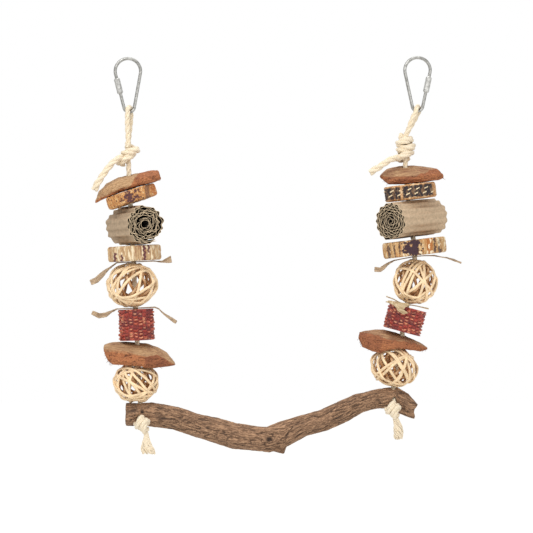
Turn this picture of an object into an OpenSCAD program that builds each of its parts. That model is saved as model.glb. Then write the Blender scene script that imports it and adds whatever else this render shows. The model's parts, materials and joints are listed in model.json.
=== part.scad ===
// Hanging bird swing: two threaded columns of chewable pieces carry a natural branch perch.
// Millimetres, +Z up, X along the perch, front towards -Y.
// The origin is the point where the left quick link hangs, inside the top of its bow.

/* [Quick links] */
// Distance between the two hanging points
hook_spacing = 290; // [280:1:310]
// Height of the right hanging point above the left one
hook_step = 1; // [0:0.5:4]
// Wire diameter of the quick links
wire_d = 3.2; // [2.6:0.1:3.6]
// Radius of the wide upper bend, to the middle of the wire
link_top_r = 12.7; // [11:0.1:15]
// Radius of the narrow lower bend, to the middle of the wire
link_foot_r = 5.2; // [5:0.1:6.5]
// Distance between the centres of the two bends
link_rise = 35.6; // [32:0.1:42]
// How far the left link leans, its foot to the right
left_link_lean = 2; // [0:0.5:4]
// Length of the screw sleeve
sleeve_l = 16; // [12:0.5:18]
// Distance across the flats of the screw sleeve
sleeve_w = 5.2; // [4.6:0.1:6]
// Distance from the wide bend to the sleeve, along the straight leg
sleeve_drop = 4; // [2:0.5:6]
// Length of the gap in the wire that the sleeve bridges
link_gap = 7; // [5:0.5:9]

/* [Rope] */
// Rope diameter
rope_d = 5.2; // [4.4:0.1:5.4]
// Height of the eye, from the link's wire to the top of the left knot
left_eye_l = 31; // [24:1:40]
// The same for the right eye
right_eye_l = 22.5; // [18:0.5:40]
// Shift of the left knot to the right of its link's foot
left_knot_shift = -1.2; // [-6:0.2:6]
// Shift of the right knot to the right of its link's foot
right_knot_shift = -13; // [-15:0.5:0]
// Radius of a knot's turns, to the middle of the rope
knot_r = 7; // [6.4:0.1:8]
// Rise of a knot in one turn
knot_pitch = 5.9; // [5.8:0.1:7]
// Turns in the left upper knot
left_knot_turns = 2.5; // [2:0.25:4]
// Turns in the right upper knot
right_knot_turns = 4.25; // [3:0.25:5]
// Turns in a lower stopper knot
stopper_turns = 1.75; // [1.25:0.25:3]
// Length of the frayed rope end under a stopper knot
fray_l = 19; // [12:1:30]
// Width of the frayed rope end
fray_w = 14; // [10:0.5:18]

/* [Columns] */
// Bare rope between the left knot and its column
left_neck = 12; // [5:0.5:16]
// Bare rope between the right knot and its column
right_neck = 2.2; // [0.6:0.2:6]
// Lean of the left column's upper half, its lower end to the right
left_upper_lean = 3.2; // [0:0.2:6]
// Lean of the left column's lower half
left_lower_lean = 2.6; // [0:0.2:6]
// Lean of the right column's upper half
right_upper_lean = 6.6; // [0:0.2:9]
// Lean of the right column's lower half, its lower end to the left
right_lower_lean = -9.2; // [-12:0.2:0]
// Gap between neighbouring pieces on a rope
piece_gap = 0.6; // [0.4:0.1:1.5]
// Gap between a lower chunk and the lower ball, whose vine lies a little inside its height
low_ball_gap = 0.15; // [0.1:0.05:0.6]
// Gap between the right upper leaf strip, at the rope's bend, and the ball below it
bend_gap = 2; // [1.6:0.2:4]
// Gap beside a piece that sits askew
askew_gap = 2.2; // [1.6:0.2:4]
// Gap round the rope in a straight hole
hole_gap = 0.5; // [0.3:0.1:1]
// Extra radius of the holes beside the right rope's bend
bend_hole = 1; // [0.8:0.1:2]

/* [Coconut husk chunks] */
// Length of the left upper chunk
left_husk_l = 69; // [60:0.5:74]
// Depth of the left upper chunk, front to back
left_husk_w = 41; // [34:0.5:46]
// Thickness of the left upper chunk at its hole
left_husk_t = 14; // [12:0.5:18]
// Tilt of the left upper chunk on the rope, its left end low
left_husk_tilt = 15; // [10:1:17]
// Length of the right upper chunk
right_husk_l = 62; // [54:0.5:68]
// Depth of the right upper chunk
right_husk_w = 39; // [34:0.5:46]
// Thickness of the right upper chunk at its hole
right_husk_t = 17.5; // [15:0.5:20]
// Length of the left lower chunk
left_low_husk_l = 69.5; // [60:0.5:74]
// Depth of the left lower chunk
left_low_husk_w = 45; // [38:0.5:50]
// Thickness of the left lower chunk at its hole
left_low_husk_t = 20; // [16:0.5:22]
// Length of the right lower chunk
right_low_husk_l = 69.5; // [60:0.5:74]
// Depth of the right lower chunk
right_low_husk_w = 39; // [34:0.5:46]
// Thickness of the right lower chunk at its hole
right_low_husk_t = 14.5; // [13:0.5:18]

/* [Slices] */
// Radius of the left upper slice
left_slice_r = 26.5; // [22:0.5:30]
// Thickness of the left upper slice
left_slice_t = 12; // [9:0.5:15]
// Tilt of the left upper slice on the rope, its left side low
left_slice_tilt = 15; // [8:1:17]
// Radius of the left lower slice
left_low_slice_r = 27; // [22:0.5:30]
// Thickness of the left lower slice
left_low_slice_t = 15; // [10:0.5:18]
// Radius of the right upper slice
right_slice_r = 27; // [22:0.5:30]
// Thickness of the right upper slice
right_slice_t = 13.5; // [10:0.5:18]
// Radius of the right lower slice
right_low_slice_r = 32; // [26:0.5:36]
// Thickness of the right lower slice
right_low_slice_t = 15.5; // [10:0.5:18]
// Chamfer on the rim of a slice
slice_edge = 1.4; // [0.6:0.2:2.5]

/* [Corrugated rolls] */
// Outer diameter of the rolls
roll_d = 40; // [34:0.5:46]
// Length of the left roll
left_roll_l = 54; // [40:1:70]
// Length of the right roll
right_roll_l = 62; // [40:1:70]
// Turn of the left roll from the viewing direction
left_roll_yaw = 25; // [0:1:60]
// Turn of the right roll from the viewing direction
right_roll_yaw = -43; // [-60:1:0]
// Place of the board's inner end in the left roll
left_roll_start = 60; // [0:5:355]
// Place of the board's inner end in the right roll
right_roll_start = 120; // [0:5:355]
// Turns of board in a roll
roll_turns = 5; // [4:1:6]
// Distance from one turn of board to the next
roll_step = 3.2; // [3:0.05:3.3]
// Length of board between two flutes
flute_pitch = 8.6; // [7.5:0.1:10]
// Thickness of the paper, liner and flute alike
paper_t = 0.6; // [0.5:0.05:0.8]

/* [Vine balls] */
// Width of the left upper ball
left_ball_w = 52; // [44:0.5:56]
// Height of the left upper ball
left_ball_h = 44; // [40:0.5:50]
// Width of the left lower ball
left_low_ball_w = 46; // [42:0.5:52]
// Height of the left lower ball
left_low_ball_h = 40; // [36:0.5:46]
// Width of the right upper ball
right_ball_w = 45; // [42:0.5:52]
// Height of the right upper ball
right_ball_h = 45; // [40:0.5:50]
// Width of the right lower ball
right_low_ball_w = 49; // [44:0.5:54]
// Height of the right lower ball
right_low_ball_h = 38.5; // [36:0.5:46]
// Distance from the rope to the middle of the left upper ball
left_ball_off = -2.5; // [-4:0.5:4]
// The same for the left lower ball
left_low_ball_off = -3; // [-4:0.5:4]
// The same for the right upper ball
right_ball_off = 4.5; // [-4:0.5:5]
// The same for the right lower ball
right_low_ball_off = -3; // [-4:0.5:4]
// Diameter of the vine
vine_d = 3; // [2.4:0.1:3.2]

/* [Corn cob slices] */
// Diameter of the left cob slice
left_cob_d = 37; // [30:0.5:42]
// Length of the left cob slice
left_cob_l = 31; // [20:0.5:36]
// Diameter of the right cob slice
right_cob_d = 40; // [30:0.5:44]
// Length of the right cob slice
right_cob_l = 25; // [20:0.5:36]
// Tilt of the right cob slice on the rope, its right side low
right_cob_tilt = 6; // [0:1:8]
// Height of the cob's scales
scale_h = 1.1; // [0.4:0.1:1.6]

/* [Leaf strips] */
// Thickness of a leaf strip
leaf_t = 1; // [0.6:0.1:1.4]
// Length of the left upper leaf strip, end to end
left_leaf_l = 82; // [70:1:90]
// Length of the left lower leaf strip
left_low_leaf_l = 84; // [70:1:90]
// Length of the right upper leaf strip
right_leaf_l = 85; // [70:1:92]
// Length of the right lower leaf strip
right_low_leaf_l = 44; // [36:1:50]
// Width of a leaf strip at its hole
leaf_w = 12; // [10:0.5:16]

/* [Perch] */
// Radius of the perch at the left rope
perch_left_r = 11.4; // [9:0.2:13]
// Radius of the perch at mid length
perch_mid_r = 12.4; // [9:0.2:14]
// Radius of the perch at the right rope
perch_right_r = 10; // [8:0.2:13]
// Length of the perch left of the left rope
perch_left_over = 14; // [10:1:30]
// Length of the perch right of the right rope
perch_right_over = 21; // [14:1:35]
// Drop of the perch's right end below the right rope
perch_right_drop = 14.5; // [6:0.5:18]
// How far the perch bows down at mid length
perch_dip = 34; // [0:1:45]
// Radius of the cut branch stub
stub_r = 5; // [3:0.5:7]
// Length of the cut branch stub
stub_l = 6; // [3:1:12]
// Depth of the bark's furrows
furrow_h = 0.7; // [0.2:0.1:1.2]
// Lean of the left rope hole through the perch, its foot to the front
left_hole_lean = 33; // [0:1:38]
// Lean of the right rope hole through the perch, its foot to the front
right_hole_lean = 30; // [20:1:38]

/* [Hidden] */
$fn = 32;

// Running clearance of the sleeve on the wire, and of the rope on the wire
sleeve_gap = 0.06;
rope_wire_gap = 0.3;
rope_r = rope_d / 2;
hole_r = rope_r + hole_gap;
bend_hole_r = hole_r + bend_hole;

// Weld beads where the link's bends meet its legs, a little thicker than the wire
bead_d = wire_d + 0.1;
bead_inset = 0.1;

// Places of the two links
link_drop = link_top_r - wire_d / 2;
link_foot_z = -(link_drop + link_rise + link_foot_r);
leg_angle = asin((link_top_r - link_foot_r) / link_rise);
leg_l = sqrt(pow(link_rise, 2) - pow(link_top_r - link_foot_r, 2));
right_hook = [hook_spacing, 0, hook_step];
left_foot = turned([0, 0, link_foot_z], left_link_lean);
right_foot = right_hook + [0, 0, link_foot_z];

// Heights of the two upper knots, and the tops of the columns
left_knot_top = left_foot + [left_knot_shift, 0, -left_eye_l];
right_knot_top = right_foot + [right_knot_shift, 0, -right_eye_l];
left_knot_h = knot_pitch * left_knot_turns + rope_d;
right_knot_h = knot_pitch * right_knot_turns + rope_d;
stopper_h = knot_pitch * stopper_turns + rope_d;
left_start = left_knot_top - [0, 0, left_knot_h];
right_start = right_knot_top - [0, 0, right_knot_h];

// Each column from the top: the gap above a piece and the piece's length on the rope
left_stack = [
    [left_neck, left_husk_t], [askew_gap, left_slice_t], [askew_gap, roll_d],
    [piece_gap, left_low_slice_t], [piece_gap, leaf_t], [piece_gap, left_ball_h],
    [piece_gap, leaf_t], [piece_gap, left_cob_l], [askew_gap, left_low_husk_t],
    [low_ball_gap, left_low_ball_h], [piece_gap, 0]
];
right_stack = [
    [right_neck, right_husk_t], [askew_gap, right_slice_t], [piece_gap, roll_d],
    [piece_gap, right_low_slice_t], [piece_gap, leaf_t], [bend_gap, right_ball_h],
    [piece_gap, leaf_t], [askew_gap, right_cob_l], [askew_gap, right_low_husk_t],
    [low_ball_gap, right_low_ball_h], [piece_gap, 0]
];
// Number of pieces above the bend of each column
bend_after = 4;
left_bend = stack_end(left_stack, bend_after);
right_bend = stack_end(right_stack, bend_after);

// Perch: its top at each rope, its centres there and the distance between the ropes
left_perch_top = left_at(stack_end(left_stack, 10) + piece_gap);
right_perch_top = right_at(stack_end(right_stack, 10) + piece_gap);
left_perch_c = left_perch_top - [0, 0, perch_left_r];
right_perch_c = right_perch_top - [0, 0, perch_right_r];

// Where each rope hole leaves the perch, and the direction of the rope in it
left_hole_dir = [0, -sin(left_hole_lean), -cos(left_hole_lean)];
right_hole_dir = [0, -sin(right_hole_lean), -cos(right_hole_lean)];
left_hole_l = 2 * perch_left_r * cos(left_hole_lean);
right_hole_l = 2 * perch_right_r * cos(right_hole_lean);
left_stopper_gap = piece_gap + perch_left_r * (1 - cos(left_hole_lean));
right_stopper_gap = piece_gap + perch_right_r * (1 - cos(right_hole_lean))
    + 0.6 * knot_r * perch_right_drop / perch_right_over;
left_stopper = left_perch_top + (left_hole_l + left_stopper_gap) * left_hole_dir;
right_stopper = right_perch_top + (right_hole_l + right_stopper_gap) * right_hole_dir;

// A direction or point turned about Y, so that its lower end goes to the right
function turned(p, a) = [p[0] * cos(a) - p[2] * sin(a), p[1], p[0] * sin(a) + p[2] * cos(a)];
function unit(v) = v / norm(v);
function mix(a, b, u) = a + (b - a) * u;
function smooth(u) = u * u * (3 - 2 * u);
// Radius of the hole that lets the rope run askew, at an angle, through a piece of a given thickness
function askew_hole_r(t, a) = rope_r / cos(a) + t / 2 * tan(a) + hole_gap;
function total(v, n) = n <= 0 ? 0 : v[n - 1] + total(v, n - 1);

// Distance along the rope to the top, the middle and the end of a piece
function stack_end(stack, n) = total([for (s = stack) s[0] + s[1]], n);
function stack_mid(stack, n) = stack_end(stack, n) + stack[n][0] + stack[n][1] / 2;

// Points and leans along the two ropes, at a distance below the upper knot
function left_at(s) = left_start
    + turned([0, 0, -min(s, left_bend)], left_upper_lean)
    + turned([0, 0, -max(s - left_bend, 0)], left_lower_lean);
function right_at(s) = right_start
    + turned([0, 0, -min(s, right_bend)], right_upper_lean)
    + turned([0, 0, -max(s - right_bend, 0)], right_lower_lean);
function left_lean(n) = n < bend_after ? left_upper_lean : left_lower_lean;
function right_lean(n) = n < bend_after ? right_upper_lean : right_lower_lean;

// Puts a piece at its place on a rope, with its own tilt
module on_left(n, tilt = 0) {
    translate(left_at(stack_mid(left_stack, n))) rotate([0, -left_lean(n) - tilt, 0]) children();
}
module on_right(n, tilt = 0) {
    translate(right_at(stack_mid(right_stack, n))) rotate([0, -right_lean(n) - tilt, 0]) children();
}

// Solid through a list of closed rings that hold the same number of points
module loft(rings) {
    n = len(rings[0]);
    last = len(rings) - 1;
    sides = [for (i = [0:last - 1], k = [0:n - 1]) let (j = (k + 1) % n, a = i * n, b = (i + 1) * n)
        each [[a + k, b + k, b + j], [a + k, b + j, a + j]]];
    caps = [[for (k = [0:n - 1]) k], [for (k = [n - 1:-1:0]) last * n + k]];
    polyhedron(points = [for (r = rings) each r], faces = concat(sides, caps));
}

// Ring of a tube at a point, square to the tube, with its first corner towards a given side
function ring(p, along, side, r, n) =
    let (t = unit(along), u = unit(side - (side * t) * t), v = cross(t, u))
    [for (k = [0:n - 1]) p + r * (cos(360 * k / n) * u + sin(360 * k / n) * v)];
function along(path, i) = path[min(i + 1, len(path) - 1)] - path[max(i - 1, 0)];
function tube(path, sides, r, n) =
    [for (i = [0:len(path) - 1]) ring(path[i], along(path, i), sides[i], r, n)];

// Least gap of a tube to itself, between points that are more than a few steps apart
function self_gap(path, d, skip) = min([for (i = [0:len(path) - 1 - skip], j = [i + skip:len(path) - 1])
    norm(path[i] - path[j])]) - d;

// Teardrop-shaped wire link that hangs from its wide end; the sleeve side is -1 or 1
module wire_link(side) {
    gap_from = sleeve_drop + (sleeve_l - link_gap) / 2;
    translate([0, 0, -link_drop]) {
        link_bend(link_top_r, -leg_angle, 180 + leg_angle);
        translate([0, 0, -link_rise]) link_bend(link_foot_r, 180 + leg_angle, 360 - leg_angle);
        link_leg(-side, 0, leg_l);
        link_leg(side, 0, gap_from);
        link_leg(side, gap_from + link_gap, leg_l);
        for (s = [-1, 1]) on_leg(s) for (z = [0, -leg_l]) translate([0, 0, z]) sphere(d = bead_d);
    }
}
module link_bend(r, from, to) {
    rotate([90, 0, 0]) rotate([0, 0, from])
        rotate_extrude(angle = to - from, $fn = 64) translate([r, 0]) circle(d = wire_d);
}
// Stretch of a straight leg, measured down from the wide bend; it ends inside the weld beads
module link_leg(side, from, to) {
    top = max(from, bead_inset);
    on_leg(side) translate([0, 0, -min(to, leg_l - bead_inset)])
        cylinder(d = wire_d, h = min(to, leg_l - bead_inset) - top);
}
module on_leg(side) {
    translate([side * link_top_r * cos(leg_angle), 0, -link_top_r * sin(leg_angle)])
        rotate([0, side * leg_angle, 0]) children();
}
// Hexagonal screw sleeve with turned-down ends
module sleeve(side) {
    corner_d = sleeve_w / cos(30);
    translate([0, 0, -link_drop]) on_leg(side) translate([0, 0, -sleeve_drop - sleeve_l]) difference() {
        intersection() {
            cylinder(d = corner_d, h = sleeve_l, $fn = 6);
            rotate_extrude($fn = 48) polygon([
                [0, 0], [sleeve_w * 0.42, 0], [corner_d / 2, sleeve_w * 0.2],
                [corner_d / 2, sleeve_l - sleeve_w * 0.2], [sleeve_w * 0.42, sleeve_l], [0, sleeve_l]
            ]);
        }
        translate([0, 0, -1]) cylinder(r = wire_d / 2 + sleeve_gap, h = sleeve_l + 2);
    }
}
module left_link() { color("silver") rotate([0, -left_link_lean, 0]) wire_link(-1); }
module left_link_sleeve() { color("gainsboro") rotate([0, -left_link_lean, 0]) sleeve(-1); }
module right_link() { color("silver") translate(right_hook) wire_link(1); }
module right_link_sleeve() { color("gainsboro") translate(right_hook) sleeve(1); }

// Rope eye: up the front, over the link's wire and down the back, a little crossed
module rope_eye(foot, knot) {
    over_r = wire_d / 2 + rope_wire_gap + rope_r;
    apart = rope_r + 0.35;
    cross_x = 1.4;
    steps = 6;
    end = knot - [0, 0, rope_d * 0.8];
    front = [for (i = [0:steps]) let (u = i / steps)
        mix(end, foot, u) + [-cross_x * (1 - u * u), -mix(apart, over_r, smooth(u)), 0]];
    over = [for (a = [20:20:160]) foot + over_r * [0, -cos(a), sin(a)]];
    back = [for (i = [steps:-1:0]) let (u = i / steps)
        mix(end, foot, u) + [cross_x * (1 - u * u), mix(apart, over_r, smooth(u)), 0]];
    path = concat(front, over, back);
    loft(tube(path, [for (p = path) [1, 0, 0]], rope_r, 8));
}
// Knot: turns of rope laid round the standing part, drawn in at both ends
function knot_path(turns, r) = let (steps = ceil(turns * 14))
    [for (i = [0:steps]) let (
        u = i / steps, a = 360 * turns * u,
        draw = min(1, 0.45 + min(u, 1 - u) * turns * 4)
    ) [r * draw * cos(a), -r * draw * sin(a), -rope_r - knot_pitch * turns * u]];
module knot(turns, r) {
    path = knot_path(turns, r);
    echo("least gap in a knot", self_gap(path, rope_d, 9));
    loft(tube(path, [for (p = path) [p[0], p[1], 0]], rope_r, 6));
}
module left_rope_eye() { color("wheat") rope_eye(left_foot, left_knot_top); }
module right_rope_eye() { color("wheat") rope_eye(right_foot, right_knot_top); }
module left_top_knot() {
    color("wheat") translate(left_knot_top) rotate([0, 0, 200]) knot(left_knot_turns, knot_r);
}
module right_top_knot() {
    color("wheat") translate(right_knot_top) rotate([0, 0, 160]) knot(right_knot_turns, knot_r);
}

// Free tail of each rope, from the lower side of its knot, by points chosen by hand
left_tail = [
    [-6, -5, -14], [-10, -9, -16], [-15, -12, -20], [-20, -14, -26], [-25, -15, -33], [-30, -15, -41],
    [-33, -15, -47]
];
right_tail = [
    [-6, -5, -24], [-11, -9, -25], [-16, -12, -27], [-22, -14, -31], [-28, -15, -35], [-35, -15, -39]
];
module rope_tail(knot, points) {
    path = [for (p = points) knot + p];
    loft(tube(path, [for (p = path) [0, 1, 0]], rope_r, 8));
}
module left_rope_tail() { color("wheat") rope_tail(left_knot_top, left_tail); }
module right_rope_tail() { color("wheat") rope_tail(right_knot_top, right_tail); }

// Standing part: through the knot, down the column, and obliquely through the perch
module rope_core(knot, start, bend, perch_top, stopper, dir) {
    out = stopper + dir * (stopper_h - 0.3 * rope_r);
    path = concat(
        [for (u = [0.3:0.35:1]) mix(knot, start, u)],
        [for (u = [0.1:0.15:0.9]) mix(start, bend, u)],
        [for (u = [0.04:0.16:0.92]) mix(bend, perch_top, u)],
        [for (u = [0:0.5:1]) mix(perch_top, stopper, u)],
        [out]
    );
    loft(tube(path, [for (p = path) [0, 1, 0]], rope_r, 8));
}
module left_rope_core() {
    color("wheat")
        rope_core(left_knot_top, left_start, left_at(left_bend), left_perch_top, left_stopper, left_hole_dir);
}
module right_rope_core() {
    color("wheat")
        rope_core(right_knot_top, right_start, right_at(right_bend), right_perch_top, right_stopper,
            right_hole_dir);
}

// Stopper knot under the perch and the frayed end of the rope below it
module left_stopper_knot() {
    color("wheat") translate(left_stopper) rotate([-left_hole_lean, 0, 0]) rotate([0, 0, 150])
        knot(stopper_turns, knot_r);
}
module right_stopper_knot() {
    color("wheat") translate(right_stopper) rotate([-right_hole_lean, 0, 0]) rotate([0, 0, 150])
        knot(stopper_turns, knot_r);
}
module frayed_end(lean_x) {
    strands = 12;
    widths = [[0, 0.75], [0.2, 0.7], [0.55, 1.05], [0.85, 1.15], [1, 0.8]];
    loft([for (w = widths) [for (k = [0:strands - 1]) let (
        a = -360 * k / strands,
        r = mix(rope_r, fray_w / 2, smooth(w[0])) * w[1] * (1 + 0.12 * w[0] * (k % 2 == 0 ? 1 : -1))
    ) [r * cos(a) + lean_x * w[0], r * 0.6 * sin(a), -fray_l * w[0]]]]);
}
module left_frayed_end() {
    color("cornsilk") translate(left_stopper + left_hole_dir * stopper_h) frayed_end(4);
}
module right_frayed_end() {
    color("cornsilk") translate(right_stopper + right_hole_dir * stopper_h) frayed_end(3);
}

// Husk chunk: a long block through stations [x, underside, top, front depth, back depth, edge].
// Its skin slopes down from the back to the front edge, and the cut faces lie below that edge.
// Stations are shares of the length, the thickness and the depth; the edge is a share of the height.
module chunk(stations, size) {
    section = [
        [1, -0.3], [1, 0.5], [0.8, 0.92], [0.25, 1], [-0.35, 0.35], [-0.8, 0.8], [-1, 1.1],
        [-0.97, -0.6], [-0.82, -0.97], [-0.3, -1], [0.4, -1], [0.88, -0.85]
    ];
    skin_from = 4;
    skin_to = 6;
    loft([for (s = stations) [for (k = [0:len(section) - 1]) let (
        q = section[k],
        high = k >= skin_from && k <= skin_to ? mix(1, s[5], q[1]) : q[1],
        depth = q[0] > 0 ? s[4] : s[3]
    ) [s[0] * size[0], q[0] * depth * size[1], mix(s[1], s[2], (high + 1) / 2) * size[2]]]]);
}
module through_hole(r, l) { translate([0, 0, -l / 2]) cylinder(r = r, h = l); }
room_gap = 0.8;
// Room of a ball and its sweep round the rope, below a chunk that domes over it
module ball_room(w, h, off, drop) {
    a = w / 2 + room_gap;
    b = h / 2 / sin(vine_reach) + room_gap;
    top = h / 2 + low_ball_gap;
    dome = [for (t = [0:5:90]) [abs(off) + a * cos(t), min(b * sin(t), top)]];
    translate([0, 0, -drop]) rotate_extrude($fn = 48) polygon(concat([[0, 0]], dome, [[0, top]]));
}

// Stations of the four chunks, from the left end to the right one
left_husk_form = [
    [-0.551, -0.686, -0.536, 0.146, 0.146, 0.2], [-0.464, -0.614, 0.036, 0.256, 0.256, 0.3],
    [-0.319, -0.543, 0.4, 0.39, 0.378, 0.45], [-0.138, -0.5, 0.571, 0.476, 0.451, 0.5],
    [0.043, -0.5, 0.493, 0.537, 0.463, 0.4], [0.174, -0.529, 0.386, 0.488, 0.439, 0.2],
    [0.348, -0.571, 0.307, 0.378, 0.366, 0.1], [0.449, -0.536, 0.143, 0.268, 0.256, 0.1]
];
right_husk_form = [
    [-0.411, 0, 0.143, 0.205, 0.179, 0.2], [-0.29, -0.4, 0.44, 0.333, 0.333, 0],
    [-0.097, -0.469, 0.514, 0.449, 0.449, -0.05], [0.048, -0.491, 0.486, 0.5, 0.474, -0.1],
    [0.169, -0.503, 0.429, 0.538, 0.462, -0.15], [0.29, -0.503, 0.343, 0.462, 0.436, -0.1],
    [0.419, -0.474, 0.24, 0.359, 0.372, -0.1], [0.524, -0.474, 0.091, 0.256, 0.282, 0],
    [0.589, -0.4, -0.2, 0.154, 0.179, 0]
];
left_low_husk_form = [
    [-0.482, 0.165, 0.445, 0.222, 0.2, 0.4], [-0.432, -0.305, 0.51, 0.3, 0.311, 0.5],
    [-0.36, -0.545, 0.555, 0.356, 0.4, 0.5], [-0.173, -0.61, 0.545, 0.433, 0.467, 0.4],
    [0, -0.805, 0.5, 0.489, 0.478, 0.25], [0.122, -0.88, 0.425, 0.522, 0.478, 0.15],
    [0.288, -0.795, 0.22, 0.4, 0.444, 0.1], [0.417, -0.765, -0.085, 0.289, 0.356, 0.1],
    [0.518, -0.72, -0.555, 0.156, 0.2, 0.1]
];
right_low_husk_form = [
    [-0.612, -0.276, 0.138, 0.179, 0.154, 0.2], [-0.532, -0.828, 0.31, 0.321, 0.282, 0.2],
    [-0.388, -1, 0.497, 0.449, 0.397, 0.2], [-0.281, -1.034, 0.566, 0.513, 0.449, 0.2],
    [-0.101, -0.897, 0.524, 0.487, 0.474, 0.2], [0.043, -0.621, 0.428, 0.449, 0.474, 0.2],
    [0.173, -0.483, 0.241, 0.372, 0.41, 0.2], [0.288, -0.483, 0.069, 0.282, 0.308, 0.1],
    [0.388, -0.276, -0.138, 0.154, 0.154, 0]
];

module left_husk_upper() {
    color("peru") on_left(0, left_husk_tilt) difference() {
        chunk(left_husk_form, [left_husk_l, left_husk_w, left_husk_t]);
        through_hole(askew_hole_r(left_husk_t + 1, left_husk_tilt), 3 * left_husk_t);
    }
}
module right_husk_upper() {
    color("sienna") on_right(0) difference() {
        chunk(right_husk_form, [right_husk_l, right_husk_w, right_husk_t]);
        through_hole(hole_r, 3 * right_husk_t);
    }
}
module left_husk_lower() {
    drop = (left_low_husk_t + left_low_ball_h) / 2 + low_ball_gap;
    color("chocolate") on_left(8) difference() {
        chunk(left_low_husk_form, [left_low_husk_l, left_low_husk_w, left_low_husk_t]);
        through_hole(hole_r, 4 * left_low_husk_t);
        ball_room(left_low_ball_w, left_low_ball_h, left_low_ball_off, drop);
    }
}
module right_husk_lower() {
    drop = (right_low_husk_t + right_low_ball_h) / 2 + low_ball_gap;
    color("chocolate") on_right(8) difference() {
        chunk(right_low_husk_form, [right_low_husk_l, right_low_husk_w, right_low_husk_t]);
        through_hole(hole_r, 4 * right_low_husk_t);
        ball_room(right_low_ball_w, right_low_ball_h, right_low_ball_off, drop);
    }
}

// Slice across a lobed stem or fruit: r is its radius, off its middle's distance from the hole
module slice(r, t, lobes, wave, phase, off, bore_r) {
    steps = 40;
    levels = [[-t / 2, -slice_edge], [slice_edge - t / 2, 0], [t / 2 - slice_edge, 0], [t / 2, -slice_edge]];
    difference() {
        loft([for (l = levels) [for (k = [0:steps - 1]) let (
            a = 360 * k / steps,
            q = r + l[1] - wave + wave * (0.7 * cos(lobes * a + phase) + 0.3 * cos(3 * a + 2 * phase))
        ) [off + q * cos(a), q * sin(a), l[0]]]]);
        through_hole(bore_r, 2 * t);
    }
}
module left_slice_upper() {
    bore_r = askew_hole_r(left_slice_t, left_slice_tilt);
    color("goldenrod") on_left(1, left_slice_tilt) slice(left_slice_r, left_slice_t, 7, 1.8, 20, 1, bore_r);
}
module left_slice_lower() {
    color("tan") on_left(3) slice(left_low_slice_r, left_low_slice_t, 9, 0.9, 40, 1, hole_r);
}
module right_slice_upper() {
    color("#3a2a2a") on_right(1) slice(right_slice_r, right_slice_t, 5, 1.4, 65, 2, hole_r);
}
module right_slice_lower() {
    color("burlywood") on_right(3) slice(right_low_slice_r, right_low_slice_t, 8, 1.2, 10, 0, bend_hole_r);
}

// Rolled corrugated board: a liner in a spiral with hollow flutes on its outer face.
// Length along the liner gives the angle, so that the flutes keep their pitch in every turn.
turn_gap = 0.3;
flute_h = roll_step - paper_t - turn_gap;
roll_core_r = roll_d / 2 - roll_step * roll_turns - paper_t - flute_h;
coil_rate = roll_step / 360;
board_l = PI * roll_turns * (2 * roll_core_r + roll_step * roll_turns);
flutes = floor(board_l / flute_pitch);
function board_angle(l) =
    (sqrt(pow(roll_core_r, 2) + l * roll_step / PI) - roll_core_r) * 360 / roll_step;
function liner_r(a) = roll_core_r + coil_rate * a;
function at_angle(r, a) = [r * cos(a), r * sin(a)];
// Height of the flute's outer face above the liner's, at a length along the board
function flute_rise(l) = flute_h * (1 - cos(360 * l / flute_pitch)) / 2;
module board_section() {
    end_a = board_angle(flutes * flute_pitch);
    inner = [for (a = [0:20:end_a]) at_angle(liner_r(a), a)];
    tail = [at_angle(liner_r(end_a), end_a)];
    outer = [for (i = [5 * flutes:-1:0]) let (l = i * flute_pitch / 5, a = board_angle(l))
        at_angle(liner_r(a) + paper_t + flute_rise(l), a)];
    hollows = [for (f = [1:flutes - 1]) [for (u = [0.23, 0.4, 0.6, 0.77]) let (
        l = (f + u) * flute_pitch, a = board_angle(l),
        rise = u == 0.23 || u == 0.77 ? paper_t : flute_rise(l)
    ) at_angle(liner_r(a) + rise, a)]];
    outline = concat(inner, tail, outer);
    holes = [for (f = [0:flutes - 2]) [for (k = [0:3]) len(outline) + 4 * f + k]];
    polygon(
        points = concat(outline, [for (h = hollows) each h]),
        paths = concat([[for (k = [0:len(outline) - 1]) k]], holes)
    );
}
module cardboard_roll(l, yaw, start) {
    difference() {
        rotate([0, 0, yaw]) translate([0, l / 2, 0]) rotate([90, start, 0])
            linear_extrude(height = l) board_section();
        through_hole(hole_r, 2 * roll_d);
    }
}
module left_cardboard_roll() {
    color("#b5a387") on_left(2) cardboard_roll(left_roll_l, left_roll_yaw, left_roll_start);
}
module right_cardboard_roll() {
    color("#b5a387") on_right(2) cardboard_roll(right_roll_l, right_roll_yaw, right_roll_start);
}

// Vine ball: one vine woven round a squashed sphere, over and under itself by turns.
// It goes round the rope vine_laps times and between the two open poles vine_waves times.
vine_laps = 5;
vine_waves = 7;
vine_reach = 60;
vine_lift = 2.8;
function vine_point(t, w, h) = let (
    wave = vine_waves * t / vine_laps,
    lat = vine_reach * cos(wave),
    over = vine_lift * cos(vine_laps * wave) * sin(wave) / sqrt(pow(sin(wave), 2) + 0.1),
    round_a = t + 5 * sin(2 * lat) + 3 * sin(2 * t + 40),
    r = (w - vine_d) / 2 - 0.8 * vine_lift + over,
    z = (h - vine_d - vine_lift) / 2 / sin(vine_reach) + over
) [r * cos(lat) * cos(round_a), r * cos(lat) * sin(round_a), z * sin(lat)];
module vine_ball(w, h, off) {
    steps = 20 * vine_waves;
    path = [for (i = [0:steps - 2]) vine_point(360 * vine_laps * i / steps, w, h) + [off, 0, 0]];
    echo("least gap in a vine ball", self_gap(path, vine_d, 6));
    loft(tube(path, [for (p = path) p - [off, 0, 0]], vine_d / 2, 6));
}
module left_vine_ball_upper() {
    color("bisque") on_left(5) vine_ball(left_ball_w, left_ball_h, left_ball_off);
}
module left_vine_ball_lower() {
    color("bisque") on_left(9) vine_ball(left_low_ball_w, left_low_ball_h, left_low_ball_off);
}
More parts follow.
